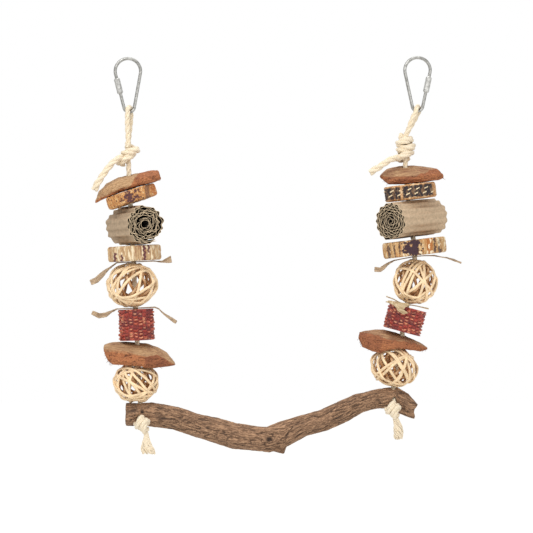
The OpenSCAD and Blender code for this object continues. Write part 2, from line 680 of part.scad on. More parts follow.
module right_vine_ball_upper() {
    color("bisque") on_right(5) vine_ball(right_ball_w, right_ball_h, right_ball_off);
}
module right_vine_ball_lower() {
    color("bisque") on_right(9) vine_ball(right_low_ball_w, right_low_ball_h, right_low_ball_off);
}

// Corn cob slice: rows of scales in brickwork, each scale standing proud at its upper edge
scale_row = 3.4;
scale_pitch = 7.2;
module cob_slice(d, l, bore_r) {
    rows = round(l / scale_row);
    round_n = round(PI * d / scale_pitch);
    levels = concat([[-l / 2, 0, 0]],
        [for (row = [0:rows - 1], half = [0.25, 0.8]) [(row + half) * l / rows - l / 2, half, row]],
        [[l / 2, 0, 0]]);
    difference() {
        loft([for (v = levels) [for (k = [0:2 * round_n - 1]) let (
            proud = (k + v[2]) % 2 == 0 ? 1 : -0.2,
            r = d / 2 - scale_h + scale_h * v[1] * proud
        ) [r * cos(180 * k / round_n), r * sin(180 * k / round_n), v[0]]]]);
        through_hole(bore_r, 2 * l);
    }
}
module left_cob_slice() { color("brown") on_left(7) cob_slice(left_cob_d, left_cob_l, hole_r); }
module right_cob_slice() {
    bore_r = askew_hole_r(right_cob_l, right_cob_tilt);
    color("brown") on_right(7, -right_cob_tilt) cob_slice(right_cob_d, right_cob_l, bore_r);
}

// Leaf strip: stations [x, z, share of the width, twist], x and z as shares of the length
leaf_twist_step = 12;
module leaf(form, l, bore_r) {
    stations = concat(
        [for (i = [0:len(form) - 2])
            let (parts = max(1, ceil(abs(form[i + 1][3] - form[i][3]) / leaf_twist_step)))
            for (k = [0:parts - 1]) mix(form[i], form[i + 1], k / parts)],
        [form[len(form) - 1]]
    );
    n = len(stations) - 1;
    difference() {
        loft([for (i = [0:n]) let (
            s = stations[i],
            t = unit([stations[min(i + 1, n)][0] - stations[max(i - 1, 0)][0], 0,
                stations[min(i + 1, n)][1] - stations[max(i - 1, 0)][1]]),
            up = cross(t, [0, 1, 0]),
            across = cos(s[3]) * [0, 1, 0] + sin(s[3]) * up,
            thick = cross(across, t),
            p = [s[0] * l, 0, s[1] * l], w = leaf_w * s[2] / 2, h = leaf_t / 2
        ) [p + w * across - h * thick, p - w * across - h * thick,
            p - w * across + h * thick, p + w * across + h * thick]]);
        through_hole(bore_r, 20 * leaf_t);
    }
}
left_leaf_form = [
    [-0.537, -0.232, 0.5, 60], [-0.463, -0.201, 0.6, 54], [-0.402, -0.146, 0.7, 42],
    [-0.329, -0.085, 0.8, 18], [-0.262, -0.037, 0.9, 0], [-0.207, 0, 1, 0], [0, 0, 1, 0],
    [0.24, 0, 0.85, 0], [0.35, -0.01, 0.6, 12], [0.463, 0.01, 0.65, 60]
];
left_low_leaf_form = [
    [-0.524, -0.031, 0.4, 50], [-0.44, -0.071, 0.6, 48], [-0.357, -0.065, 0.65, 38],
    [-0.286, -0.026, 0.75, 10], [-0.226, 0, 0.9, 0], [0, 0, 1, 0], [0.226, 0, 0.9, 0],
    [0.274, -0.021, 0.7, 0], [0.333, -0.083, 0.5, 10], [0.417, -0.149, 0.45, 25],
    [0.476, -0.196, 0.4, 40]
];
right_leaf_form = [
    [-0.447, -0.224, 0.5, 55], [-0.376, -0.219, 0.55, 45], [-0.306, -0.141, 0.6, 15],
    [-0.235, -0.085, 0.8, 0], [-0.094, -0.034, 1, 0], [0, 0, 1, 0], [0.106, 0.026, 1, 0],
    [0.224, 0.047, 0.8, 0], [0.376, 0.045, 0.5, 10], [0.553, 0.011, 0.35, 25]
];
right_low_leaf_form = [
    [-0.5, 0.109, 0.5, 0], [-0.318, 0.068, 0.8, 0], [-0.182, 0.018, 1, 0], [0, 0, 1, 0],
    [0.205, 0, 1, 0], [0.341, -0.009, 0.6, 0], [0.5, -0.018, 0.3, 0]
];
module left_leaf_upper() { color("#a3906f") on_left(4) leaf(left_leaf_form, left_leaf_l, hole_r); }
module left_leaf_lower() { color("#a3906f") on_left(6) leaf(left_low_leaf_form, left_low_leaf_l, hole_r); }
module right_leaf_upper() { color("#a3906f") on_right(4) leaf(right_leaf_form, right_leaf_l, bend_hole_r); }
module right_leaf_lower() {
    color("#c49a5a") on_right(6) leaf(right_low_leaf_form, right_low_leaf_l, hole_r);
}

// Perch: a furrowed branch that bows down between the ropes.
// Stations [share of the way between the ropes, share of the dip, share of the radius]
perch_form = [
    [0, 0, 1], [0.04, 0.02, 0.99], [0.14, 0.18, 0.94], [0.215, 0.41, 0.955], [0.29, 0.59, 1],
    [0.37, 0.82, 1.02], [0.45, 0.94, 0.985], [0.505, 1, 1], [0.565, 0.87, 1.04],
    [0.64, 0.67, 0.9], [0.726, 0.54, 0.91], [0.8, 0.33, 0.955], [0.866, 0.11, 0.9],
    [0.93, 0.03, 0.88], [1, 0, 1]
];
function perch_r(u) = u < 0.5 ? mix(perch_left_r, perch_mid_r, 2 * u)
    : mix(perch_mid_r, perch_right_r, 2 * u - 1);
function perch_point(s) = mix(left_perch_c, right_perch_c, s[0]) - [0, 0, perch_dip * s[1]];
module perch() {
    corners = 18;
    path = concat(
        [left_perch_c - [perch_left_over, 0, 0]], [for (s = perch_form) perch_point(s)],
        [right_perch_c + [0.45 * perch_right_over, 0, -0.42 * perch_right_drop],
            right_perch_c + [perch_right_over, 0, -perch_right_drop]]
    );
    radii = concat([0.97 * perch_left_r], [for (s = perch_form) perch_r(s[0]) * s[2]],
        [1.1 * perch_right_r, 0.8 * perch_right_r]);
    color("#8a7466") difference() {
        union() {
            loft([for (i = [0:len(path) - 1]) let (t = along(path, i))
                [for (k = [0:corners - 1]) let (
                    a = 360 * k / corners,
                    r = radii[i] - furrow_h * (k % 3 == i % 3 ? 1 : 0),
                    out = cos(a) * [0, 1, 0] + sin(a) * cross(unit(t), [0, 1, 0])
                ) path[i] + r * out]]);
            translate(perch_point(perch_form[8])) rotate([0, 195, 0])
                cylinder(r1 = 1.3 * stub_r, r2 = stub_r, h = perch_mid_r + stub_l);
        }
        translate(left_perch_top) rotate([-left_hole_lean, 0, 0])
            through_hole(hole_r, 6 * perch_left_r);
        translate(right_perch_top) rotate([-right_hole_lean, 0, 0])
            through_hole(hole_r, 6 * perch_right_r);
    }
}

left_link();
left_link_sleeve();
right_link();
right_link_sleeve();
left_rope_eye();
left_top_knot();
left_rope_tail();
left_rope_core();
left_stopper_knot();
left_frayed_end();
right_rope_eye();
right_top_knot();
right_rope_tail();
right_rope_core();
right_stopper_knot();
right_frayed_end();
left_husk_upper();
left_slice_upper();
left_cardboard_roll();
left_slice_lower();
left_leaf_upper();
left_vine_ball_upper();
left_leaf_lower();
left_cob_slice();
left_husk_lower();
left_vine_ball_lower();
right_husk_upper();
right_slice_upper();
right_cardboard_roll();
right_slice_lower();
right_leaf_upper();
right_vine_ball_upper();
right_leaf_lower();
right_cob_slice();
right_husk_lower();
right_vine_ball_lower();
perch();
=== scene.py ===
"""Dresses the frame of a bird swing: rope, husk, slices, board, vine balls, cobs, leaves and branch."""

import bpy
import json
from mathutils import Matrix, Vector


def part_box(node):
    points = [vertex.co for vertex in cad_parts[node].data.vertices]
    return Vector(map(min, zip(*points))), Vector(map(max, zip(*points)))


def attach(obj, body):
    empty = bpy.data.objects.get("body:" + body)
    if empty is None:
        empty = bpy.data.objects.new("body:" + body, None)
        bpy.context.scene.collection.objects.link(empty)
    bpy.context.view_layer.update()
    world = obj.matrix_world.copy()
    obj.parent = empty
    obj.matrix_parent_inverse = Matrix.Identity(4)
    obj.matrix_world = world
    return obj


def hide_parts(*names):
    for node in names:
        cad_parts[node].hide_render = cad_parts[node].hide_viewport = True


bl_info = {
    "name": "Bird swing dressing",
    "version": (1, 0, 0),
    "blender": (4, 5, 0),
    "location": "View3D > Sidebar > Bird swing",
    "description": "Makes the rope, husk, slices, board, vine balls, cobs, leaves and branch of a bird swing",
    "category": "Object",
}

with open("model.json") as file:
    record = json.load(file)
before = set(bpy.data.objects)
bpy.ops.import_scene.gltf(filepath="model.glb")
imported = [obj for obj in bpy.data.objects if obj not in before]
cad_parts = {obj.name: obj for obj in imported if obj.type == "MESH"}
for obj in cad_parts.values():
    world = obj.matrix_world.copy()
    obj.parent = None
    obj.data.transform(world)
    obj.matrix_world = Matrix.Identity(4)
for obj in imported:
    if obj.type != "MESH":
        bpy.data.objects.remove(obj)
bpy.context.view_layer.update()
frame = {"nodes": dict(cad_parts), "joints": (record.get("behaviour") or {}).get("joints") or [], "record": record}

import json
import math
from types import SimpleNamespace

import bmesh
import bpy
import numpy as np
from mathutils import Matrix, Vector

MM = 0.001
TURN = 2 * math.pi
SIDES = ("left", "right")
THREADED = ("husk_upper", "slice_upper", "cardboard_roll", "slice_lower", "leaf_upper", "vine_ball_upper",
            "leaf_lower", "cob_slice", "husk_lower", "vine_ball_lower")
BODY_OF = {node: body for body, nodes in frame["record"]["behaviour"]["bodies"].items() for node in nodes}
JOINT_OF = {joint["child"]: joint for joint in frame["joints"]}
ROPE = "natural_fibre_rope"
# How much thicker the soft rope bulks in a knot and in a free tail than where it is drawn tight
KNOT_SWELL, TAIL_SWELL = 1.42, 1.25

# Routes of the free tails from the top of each upper knot, in millimetres, as in the solids
TAIL_ROUTE = {
    "left": [(-6, -5, -14), (-10, -9, -16), (-15, -12, -20), (-20, -14, -26), (-25, -15, -33),
             (-30, -15, -41), (-33, -15, -47)],
    "right": [(-6, -5, -24), (-11, -9, -25), (-16, -12, -27), (-22, -14, -31), (-28, -15, -35),
              (-35, -15, -39)],
}
# How far each stopper knot lies from the middle of its solid, in millimetres, drawn up against the perch, and
# the way that it leans
SNUG = {"left": (3.2, -2.5, 4.2), "right": (-1.2, -2.5, 3.8)}
STOPPER_WAY = {"left": (0.84, -0.3, -0.46), "right": (0.78, -0.3, -0.55)}
# The middle of the view, in metres
VIEW_X, VIEW_Z = 0.139, -0.2063


def colour(code):
    """Linear colour of an sRGB hex value; a colour that is linear already stays as it is."""
    if not isinstance(code, str):
        return list(code)
    srgb = [int(code[i:i + 2], 16) / 255 for i in (0, 2, 4)]
    return [c / 12.92 if c <= 0.04045 else ((c + 0.055) / 1.055) ** 2.4 for c in srgb] + [1.0]


def shades(base, *stops):
    """Stops of a ramp, each a place and how many times as light as the linear base colour it is."""
    return [(place, [min(1.0, c * share) for c in list(base)[:3]] + [1.0]) for place, share in stops]


def add(tree, kind, inputs=None, stops=None, **settings):
    """Adds a node. Each of its inputs is a value, a socket or a node, which stands for its first output."""
    node = tree.nodes.new(kind)
    for key, value in settings.items():
        setattr(node, key, value)
    for key, value in (inputs or {}).items():
        if isinstance(value, bpy.types.Node):
            value = value.outputs[0]
        if isinstance(value, bpy.types.NodeSocket):
            tree.links.new(value, node.inputs[key])
        else:
            node.inputs[key].default_value = value
    if stops:
        ramp = node.color_ramp.elements
        for element, (place, code) in zip(ramp, (stops[0], stops[-1])):
            element.position = place
            element.color = colour(code)
        for place, code in stops[1:-1]:
            ramp.new(place).color = colour(code)
    return node


class SwingSettings(bpy.types.PropertyGroup):
    """Sizes and colours of the dressing."""

    rope_d: bpy.props.FloatProperty(
        name="Rope diameter", description="Outer diameter of the three-strand rope",
        default=5.2 * MM, min=4 * MM, max=6 * MM, unit="LENGTH")
    rope_lay: bpy.props.FloatProperty(
        name="Rope lay", description="Length of one turn of a strand",
        default=21 * MM, min=12 * MM, max=30 * MM, unit="LENGTH")
    vine_w: bpy.props.FloatProperty(
        name="Vine width", description="Width of the peeled vine in the balls",
        default=2.8 * MM, min=2 * MM, max=4 * MM, unit="LENGTH")
    vine_t: bpy.props.FloatProperty(
        name="Vine thickness", description="Thickness of the peeled vine in the balls",
        default=2.1 * MM, min=1 * MM, max=3 * MM, unit="LENGTH")
    vine_loops: bpy.props.IntProperty(
        name="Vine loops", description="Loops of vine added to the unbroken one in each ball",
        default=13, min=4, max=24)
    paper_t: bpy.props.FloatProperty(
        name="Paper thickness", description="Thickness of the corrugated board's papers",
        default=0.38 * MM, min=0.3 * MM, max=0.8 * MM, unit="LENGTH")
    rope_colour: bpy.props.FloatVectorProperty(
        name="Rope colour", description="Colour of the natural fibre rope",
        default=colour("e8d8bd"), size=4, subtype="COLOR", min=0, max=1)
    vine_colour: bpy.props.FloatVectorProperty(
        name="Vine colour", description="Colour of the peeled vine",
        default=colour("eccfa6"), size=4, subtype="COLOR", min=0, max=1)
    board_colour: bpy.props.FloatVectorProperty(
        name="Board colour", description="Colour of the corrugated board",
        default=colour("c1a88a"), size=4, subtype="COLOR", min=0, max=1)


def sizes():
    """The settings of the scene."""
    return bpy.context.scene.swing_settings


def hashed(cell, seed):
    """A number from 0 to 1 for each whole-number cell."""
    # Large odd factors scatter neighbouring cells, and shifts mix their bits, of which 24 are kept
    mixed = cell[:, 0] * 374761393 + cell[:, 1] * 668265263 + cell[:, 2] * 1274126177 + seed * 974634777
    mixed = (mixed ^ (mixed >> 13)) * 1103515245 & 0x7FFFFFFF
    return ((mixed ^ (mixed >> 16)) & 0xFFFFFF) / 0xFFFFFF


def rough(points, size, seed=0, octaves=2):
    """Smooth noise from about -1 to 1 at points, whose lumps have the given size along each axis."""
    total, weight = np.zeros(len(points)), 1.0
    at = points / np.asarray(size, float)
    for octave in range(octaves):
        base = np.floor(at).astype(np.int64)
        part = at - base
        part = part * part * (3 - 2 * part)
        value = np.zeros(len(points))
        for corner in range(8):
            step = np.array([corner & 1, corner >> 1 & 1, corner >> 2 & 1])
            share = np.prod(np.where(step == 1, part, 1 - part), axis=1)
            value += share * hashed(base + step, seed + 17 * octave)
        total += weight * (2 * value - 1)
        # The next octave's lumps are half as large and lie elsewhere
        at = at * 2.03 + 5.1
        weight *= 0.5
    return total


def ease(x, low, high):
    """Rises smoothly from 0 to 1 as x goes from low to high."""
    u = np.clip((np.asarray(x) - low) / (high - low), 0, 1)
    return u * u * (3 - 2 * u)


def fade(x, low, high):
    """Falls smoothly from 1 to 0 as x goes from low to high."""
    return 1 - ease(x, low, high)


def clip(shares):
    """Shares kept between 0 and 1."""
    return np.clip(shares, 0, 1)


def polar(points):
    """Angles and distances of points about Z."""
    return np.arctan2(points[:, 1], points[:, 0]), np.hypot(points[:, 0], points[:, 1])


def columns(*values):
    """Numbers side by side, one row for each point; a single number fills its column."""
    return np.stack(np.broadcast_arrays(*values), axis=1)


def link(name, data):
    """Puts a new object in the scene."""
    piece = bpy.data.objects.new(name, data)
    bpy.context.scene.collection.objects.link(piece)
    return piece


def mesh_piece(name, points, faces):
    """A new object with a mesh of points in metres."""
    mesh = bpy.data.meshes.new(name)
    mesh.from_pydata([tuple(point) for point in points], [], faces)
    return link(name, mesh)


def quads(rows, across, first=0):
    """Faces between the points of a grid that lie row by row."""
    return [(first + i * across + j, first + i * across + j + 1, first + (i + 1) * across + j + 1,
             first + (i + 1) * across + j) for i in range(rows - 1) for j in range(across - 1)]


def settle(piece):
    """Turns a piece and its modifiers, or a curve, into a plain mesh under the same name."""
    bpy.context.view_layer.update()
    graph = bpy.context.evaluated_depsgraph_get()
    mesh = bpy.data.meshes.new_from_object(piece.evaluated_get(graph))
    name = piece.name
    if piece.type == "MESH":
        piece.modifiers.clear()
        piece.data = mesh
        return piece
    bpy.data.objects.remove(piece)
    return link(name, mesh)


def walled(piece, thickness):
    """Gives a sheet its thickness, half to each side."""
    wall = piece.modifiers.new("wall", "SOLIDIFY")
    wall.thickness = thickness
    wall.offset = 0
    return settle(piece)


def numbers(items, key, size=3):
    """One field of a mesh's items, a row for each."""
    flat = np.empty(len(items) * size, np.float32)
    items.foreach_get(key, flat)
    return flat.reshape(-1, size).astype(float)


def places(piece):
    """The vertices of a mesh, in metres."""
    return numbers(piece.data.vertices, "co")


def outward(piece):
    """The vertex normals of a mesh."""
    return numbers(piece.data.vertex_normals, "vector")


def move(piece, points):
    """Gives a mesh's vertices new places."""
    piece.data.vertices.foreach_set("co", np.asarray(points, np.float32).ravel())
    piece.data.update()


def store(piece, **fields):
    """Keeps numbers or vectors for the vertices, which the material reads by their names."""
    for name, values in fields.items():
        kind, key = ("FLOAT_VECTOR", "vector") if np.ndim(values) == 2 else ("FLOAT", "value")
        field = piece.data.attributes.new(name, kind, "POINT")
        field.data.foreach_set(key, np.asarray(values, np.float32).ravel())


def cad_copy(node, voxel, smoothing):
    """A copy of a CAD node's mesh, joined up, cut into even quads and smoothed a little."""
    mesh = frame["nodes"][node].data.copy()
    work = bmesh.new()
    work.from_mesh(mesh)
    bmesh.ops.remove_doubles(work, verts=work.verts, dist=1e-6)
    work.to_mesh(mesh)
    work.free()
    mesh.materials.clear()
    piece = link(node + "_piece", mesh)
    remesh = piece.modifiers.new("even", "REMESH")
    remesh.mode = "VOXEL"
    remesh.voxel_size = voxel * MM
    soften = piece.modifiers.new("soften", "SMOOTH")
    soften.factor = 0.5
    soften.iterations = smoothing
    return settle(piece)


def join(piece, other):
    """Adds the mesh of another piece, which goes; gives back how many vertices came."""
    before = len(piece.data.vertices)
    work = bmesh.new()
    work.from_mesh(piece.data)
    work.from_mesh(other.data)
    work.to_mesh(piece.data)
    work.free()
    bpy.data.objects.remove(other)
    return len(piece.data.vertices) - before


def piece_matrix(node):
    """Place of a threaded piece: its middle on the rope, Z up its hole and X to the right."""
    joint = JOINT_OF[node + "_piece"]
    up = Vector(joint["axis"]).normalized()
    right = Vector((0, 1, 0)).cross(up).normalized()
    turn = Matrix((right, up.cross(right), up)).transposed().to_4x4()
    return Matrix.Translation(joint["pos_m"]) @ turn


def to_local(node, points):
    """Points in millimetres in the frame of a threaded piece."""
    matrix = np.array(piece_matrix(node).inverted())
    return (points @ matrix[:3, :3].T + matrix[:3, 3]) / MM


def to_world(node, points):
    """Points of a threaded piece's frame, in millimetres, put in the scene."""
    matrix = np.array(piece_matrix(node))
    return (np.asarray(points) * MM) @ matrix[:3, :3].T + matrix[:3, 3]


def local_normals(node, piece):
    """The vertex normals in the frame of a threaded piece."""
    return outward(piece) @ np.array(piece_matrix(node).to_3x3())


def thicken(piece, node, share):
    """Makes a threaded piece thicker along the rope, about its middle."""
    move(piece, to_world(node, to_local(node, places(piece)) * np.array([1, 1, share])))


def dress(piece, finish, node):
    """Gives a finished piece its material and lets it stand for its CAD node, on the node's body."""
    piece.data.materials.clear()
    piece.data.materials.append(bpy.data.materials[finish])
    piece.data.shade_smooth()
    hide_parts(node)
    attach(piece, BODY_OF[node])
    return piece


def new_material(name, roughness, **values):
    """The tree and the Principled shader of a new material."""
    material = bpy.data.materials.new(name)
    material.use_nodes = True
    tree = material.node_tree
    tree.nodes.clear()
    shader = add(tree, "ShaderNodeBsdfPrincipled", {"Roughness": roughness, **values})
    add(tree, "ShaderNodeOutputMaterial", {"Surface": shader})
    return tree, shader


def grain(tree, source, stretch, scale=1.0, detail=3.0, roughness=0.6):
    """Noise over a stretched vector: a socket, an attribute in millimetres, or Object coordinates."""
    if source == "Object":
        source = add(tree, "ShaderNodeTexCoord").outputs["Object"]
    elif isinstance(source, str):
        source = add(tree, "ShaderNodeAttribute", attribute_name=source).outputs["Vector"]
    stretched = add(tree, "ShaderNodeVectorMath", {0: source, 1: stretch}, operation="MULTIPLY")
    noise = add(tree, "ShaderNodeTexNoise",
                {"Vector": stretched, "Scale": scale, "Detail": detail, "Roughness": roughness})
    return noise.outputs[0]


def summed(tree, one, share, other, other_share):
    """The sum of two patterns, each taken at its share."""
    rest = add(tree, "ShaderNodeMath", {0: other, 1: other_share}, operation="MULTIPLY")
    return add(tree, "ShaderNodeMath", {0: one, 1: share, 2: rest}, operation="MULTIPLY_ADD").outputs[0]


def finish_surface(tree, shader, tone, marks, height, strength, relief):
    """Lays colours over a tone where attributes say so, and adds a bump of so many millimetres."""
    for name, code in marks.items():
        share = add(tree, "ShaderNodeAttribute", attribute_name=name).outputs["Fac"]
        mixed = add(tree, "ShaderNodeMix", {0: share, 6: tone, 7: colour(code)}, data_type="RGBA")
        tone = mixed.outputs[2]
    bump = add(tree, "ShaderNodeBump", {"Strength": strength, "Distance": relief * MM, "Height": height})
    for name, output in (("Base Color", tone), ("Normal", bump.outputs[0])):
        tree.links.new(output, shader.inputs[name])


def zinc_steel(name, dark, light):
    """Zinc-plated steel, bright but not polished: grey where drawn to wire, paler on the turned sleeve."""
    tree, shader = new_material(name, 0.34, Metallic=1.0)
    cloud = grain(tree, "Object", (1, 1, 1), 350)
    tone = add(tree, "ShaderNodeValToRGB", {0: cloud}, [(0.35, dark), (0.65, light)])
    wear = add(tree, "ShaderNodeMapRange", {"Value": cloud, "To Min": 0.26, "To Max": 0.44})
    tree.links.new(tone.outputs[0], shader.inputs["Base Color"])
    tree.links.new(wear.outputs[0], shader.inputs["Roughness"])


def rope_fibre():
    """Soft natural fibre rope: matt, straw-white, with fine fibres along each strand and warmer patches."""
    tree, shader = new_material(ROPE, 0.85, **{"Sheen Weight": 0.25})
    along = add(tree, "ShaderNodeAttribute", attribute_name="rope_along").outputs["Fac"]
    across = add(tree, "ShaderNodeAttribute", attribute_name="rope_across").outputs["Vector"]
    split = add(tree, "ShaderNodeSeparateXYZ", {0: across})
    way = add(tree, "ShaderNodeCombineXYZ", {0: along, 1: split.outputs[0], 2: split.outputs[1]})
    # Fibres about 0.4 mm wide and 6 mm long; the vector is in metres
    fibre = grain(tree, way.outputs[0], (1, 14, 14), 180, 4)
    tone = add(tree, "ShaderNodeValToRGB", {0: fibre},
               shades(sizes().rope_colour, (0.25, 0.7), (0.45, 0.94), (0.7, 1.08)))
    patch = grain(tree, "Object", (1, 1, 1), 90)
    warm = add(tree, "ShaderNodeMapRange", {"Value": patch, "From Min": 0.5, "From Max": 0.8, "To Max": 0.35})
    mixed = add(tree, "ShaderNodeMix", {0: warm, 6: tone, 7: colour("e2c795")}, data_type="RGBA")
    finish_surface(tree, shader, mixed.outputs[2], {}, fibre, 0.5, 0.3)


def coconut_husk():
    """Coconut husk: a tan outer skin with fine dark streaks, torn, cracked red-brown fibre, and painted shade."""
    tree, shader = new_material("torn_coconut_husk", 0.8)
    skin = add(tree, "ShaderNodeAttribute", attribute_name="skin").outputs["Fac"]
    # Streaks 0.6 mm wide and 12 mm long on the skin, fibres 0.4 mm wide and 6 mm long on the cut faces
    streak = grain(tree, "local", (0.08, 1.6, 1.6), detail=4)
    fibre = grain(tree, "local", (0.16, 2.4, 2.4), detail=5, roughness=0.7)
    tan = add(tree, "ShaderNodeValToRGB", {0: streak},
              [(0.3, "84623f"), (0.45, "b38d65"), (0.6, "c8a379"), (0.75, "dfc098")])
    red = add(tree, "ShaderNodeValToRGB", {0: fibre},
              [(0.28, "6b3820"), (0.42, "985b37"), (0.56, "b87548"), (0.75, "dda26b")])
    both = add(tree, "ShaderNodeMix", {0: skin, 6: red, 7: tan}, data_type="RGBA")
    # Painted shade: 'shade' darkens faces turned from the light and parts of the skin, 'crack' the cracks
    finish_surface(tree, shader, both.outputs[2], {"shade": "74402a", "crack": "4a2a1c"}, fibre, 0.7, 0.6)


def slice_rind(name, stops, streaks, warm, light, dark):
    """Dried slice: matt tissue with ribs down its rim, and its warm, light and dark marks over them."""
    tree, shader = new_material(name, 0.75)
    tissue = grain(tree, "rim", streaks, detail=4, roughness=0.65)
    surface = add(tree, "ShaderNodeValToRGB", {0: tissue}, stops).outputs[0]
    finish_surface(tree, shader, surface, {"warm": warm, "light": light, "dark": dark}, tissue, 0.5, 0.6)


def kraft_board():
    """Unbleached kraft board, rolled: grey-tan, matt, streaked along the flutes, painted near black as shade deep
    inside.
    """
    tree, shader = new_material("kraft_board", 0.85)
    fleck = grain(tree, "local", (1.6, 1.6, 1.6), detail=4, roughness=0.7)
    streak = grain(tree, "local", (0.05, 0.5, 0.5), detail=2)
    tone = add(tree, "ShaderNodeValToRGB", {0: summed(tree, streak, 0.6, fleck, 0.4)},
               shades(sizes().board_colour, (0.3, 0.66), (0.5, 0.96), (0.7, 1.22))).outputs[0]
    # Painted shade: 'depth' takes the papers deep in the roll to near black
    finish_surface(tree, shader, tone, {"edge": "dcc4a0", "depth": "16110d"}, fleck, 0.2, 0.3)


def peeled_vine():
    """Peeled vine: pale cream to peach wood with a soft sheen, orange-brown deep in the ball, partly painted
    shade.
    """
    tree, shader = new_material("peeled_vine", 0.5)
    tone = add(tree, "ShaderNodeValToRGB", {0: grain(tree, "Object", (1, 1, 1), 160, 4)},
               shades(sizes().vine_colour, (0.3, 0.8), (0.5, 0.98), (0.72, 1.2))).outputs[0]
    fine = grain(tree, "Object", (1, 1, 1), 900, 4)
    # The vine deep in the ball is orange-brown, partly its own colour and partly painted shade
    finish_surface(tree, shader, tone, {"depth": "ba8654"}, fine, 0.25, 0.3)


def corn_cob():
    """Dried red corn cob: dark red papery scales, painted highlights on some lips, painted shade in gaps, tan end
    faces.
    """
    tree, shader = new_material("dried_red_cob", 0.5)
    cell = add(tree, "ShaderNodeAttribute", attribute_name="cell").outputs["Fac"]
    speck = grain(tree, "Object", (1, 1, 1), 900, 4, 0.7)
    tone = add(tree, "ShaderNodeValToRGB", {0: summed(tree, speck, 0.55, cell, 1.0)},
               [(0.3, "521413"), (0.5, "7d211a"), (0.72, "9e3629"), (0.9, "bd5f47")]).outputs[0]
    # Painted shade in the gaps; painted highlights on some lips, along with a few pale kernels
    finish_surface(tree, shader, tone, {"gap": "33100d", "pit": "dfa27a", "face": "b98a5c"}, speck, 0.4, 0.4)


def dry_leaf(name, dark, middle, light):
    """Dried leaf strip: matt, ribbed along its length, in three shades of its own."""
    tree, shader = new_material(name, 0.7)
    rib = grain(tree, "local", (0.06, 1.5, 0.5), detail=4)
    tone = add(tree, "ShaderNodeValToRGB", {0: rib}, [(0.3, dark), (0.5, middle), (0.7, light)]).outputs[0]
    finish_surface(tree, shader, tone, {}, rib, 0.5, 0.3)


def bark():
    """Weathered branch: brown bark, painted shade in its furrows and knot-holes, tan where rubbed, plain brown on
    its cuts.
    """
    tree, shader = new_material("furrowed_bark", 0.85)
    # Bark strips about 1 mm wide and 10 mm long
    strip = grain(tree, "bark_way", (0.1, 0.9, 0.9), detail=5, roughness=0.7)
    fine = grain(tree, "bark_way", (0.35, 2.6, 2.6), detail=4, roughness=0.75)
    level = summed(tree, strip, 0.5, fine, 0.5)
    tone = add(tree, "ShaderNodeValToRGB", {0: level},
               [(0.39, "3c291f"), (0.46, "77583f"), (0.53, "a17c5f"), (0.62, "d3a983")]).outputs[0]
    # Painted shade in the furrows and knot-holes
    finish_surface(tree, shader, tone, {"furrow": "38281f", "cut": "86644d"}, level, 0.9, 0.9)


def smooth_path(points, step=0.9):
    """Points a step apart along a smooth curve through the given points."""
    through = np.asarray(points, float)
    padded = np.vstack([2 * through[0] - through[1], through, 2 * through[-1] - through[-2]])
    samples = []
    for i in range(1, len(padded) - 2):
        a, b, c, d = padded[i - 1:i + 3]
        for u in np.linspace(0, 1, 24, endpoint=False):
            samples.append(0.5 * (2 * b + (c - a) * u + (2 * a - 5 * b + 4 * c - d) * u ** 2
                                  + (3 * b - a - 3 * c + d) * u ** 3))
    samples = np.array(samples + [through[-1]])
    run = np.concatenate([[0], np.cumsum(np.linalg.norm(np.diff(samples, axis=0), axis=1))])
    even = np.linspace(0, run[-1], max(3, round(run[-1] / step) + 1))
    return np.stack([np.interp(even, run, samples[:, k]) for k in range(3)], axis=1)


def curve_object(name, paths):
    """A curve through each list of points, in metres."""
    data = bpy.data.curves.new(name, "CURVE")
    data.dimensions = "3D"
    for path in paths:
        spline = data.splines.new("POLY")
        spline.points.add(len(path) - 1)
        spline.points.foreach_set("co", np.hstack([path, np.ones((len(path), 1))]).ravel())
    return link(name, data)


def fine_strands(name, paths, radius, sides):
    """Solid strands along paths in metres; their radius is in millimetres."""
    strands = curve_object(name, paths)
    strands.data.bevel_depth = radius * MM
    strands.data.bevel_resolution = sides
    strands.data.use_fill_caps = True
    return settle(strands)


def new_tree(name, inputs):
    """A geometry tree with named inputs, and the sockets that give them."""
    tree = bpy.data.node_groups.new(name, "GeometryNodeTree")
    tree.is_modifier = True
    for label, kind in {"Geometry": "Geometry", **inputs}.items():
        tree.interface.new_socket(label, in_out="INPUT", socket_type="NodeSocket" + kind)
    tree.interface.new_socket("Geometry", in_out="OUTPUT", socket_type="NodeSocketGeometry")
    return tree, add(tree, "NodeGroupInput").outputs


def end_tree(tree, geometry, material):
    """Ends a tree with real geometry in its material."""
    real = add(tree, "GeometryNodeRealizeInstances", {0: geometry})
    painted = add(tree, "GeometryNodeSetMaterial", {0: real, 2: material})
    add(tree, "NodeGroupOutput", {0: painted})


def run_tree(piece, tree_name, values):
    """Runs a tree on a piece, its inputs set by the sockets' identifiers, and leaves a plain mesh."""
    modifier = piece.modifiers.new("made", "NODES")
    modifier.node_group = bpy.data.node_groups[tree_name]
    for item in modifier.node_group.interface.items_tree:
        if item.in_out == "INPUT" and item.name in values:
            modifier[item.identifier] = values[item.name]
    return settle(piece)


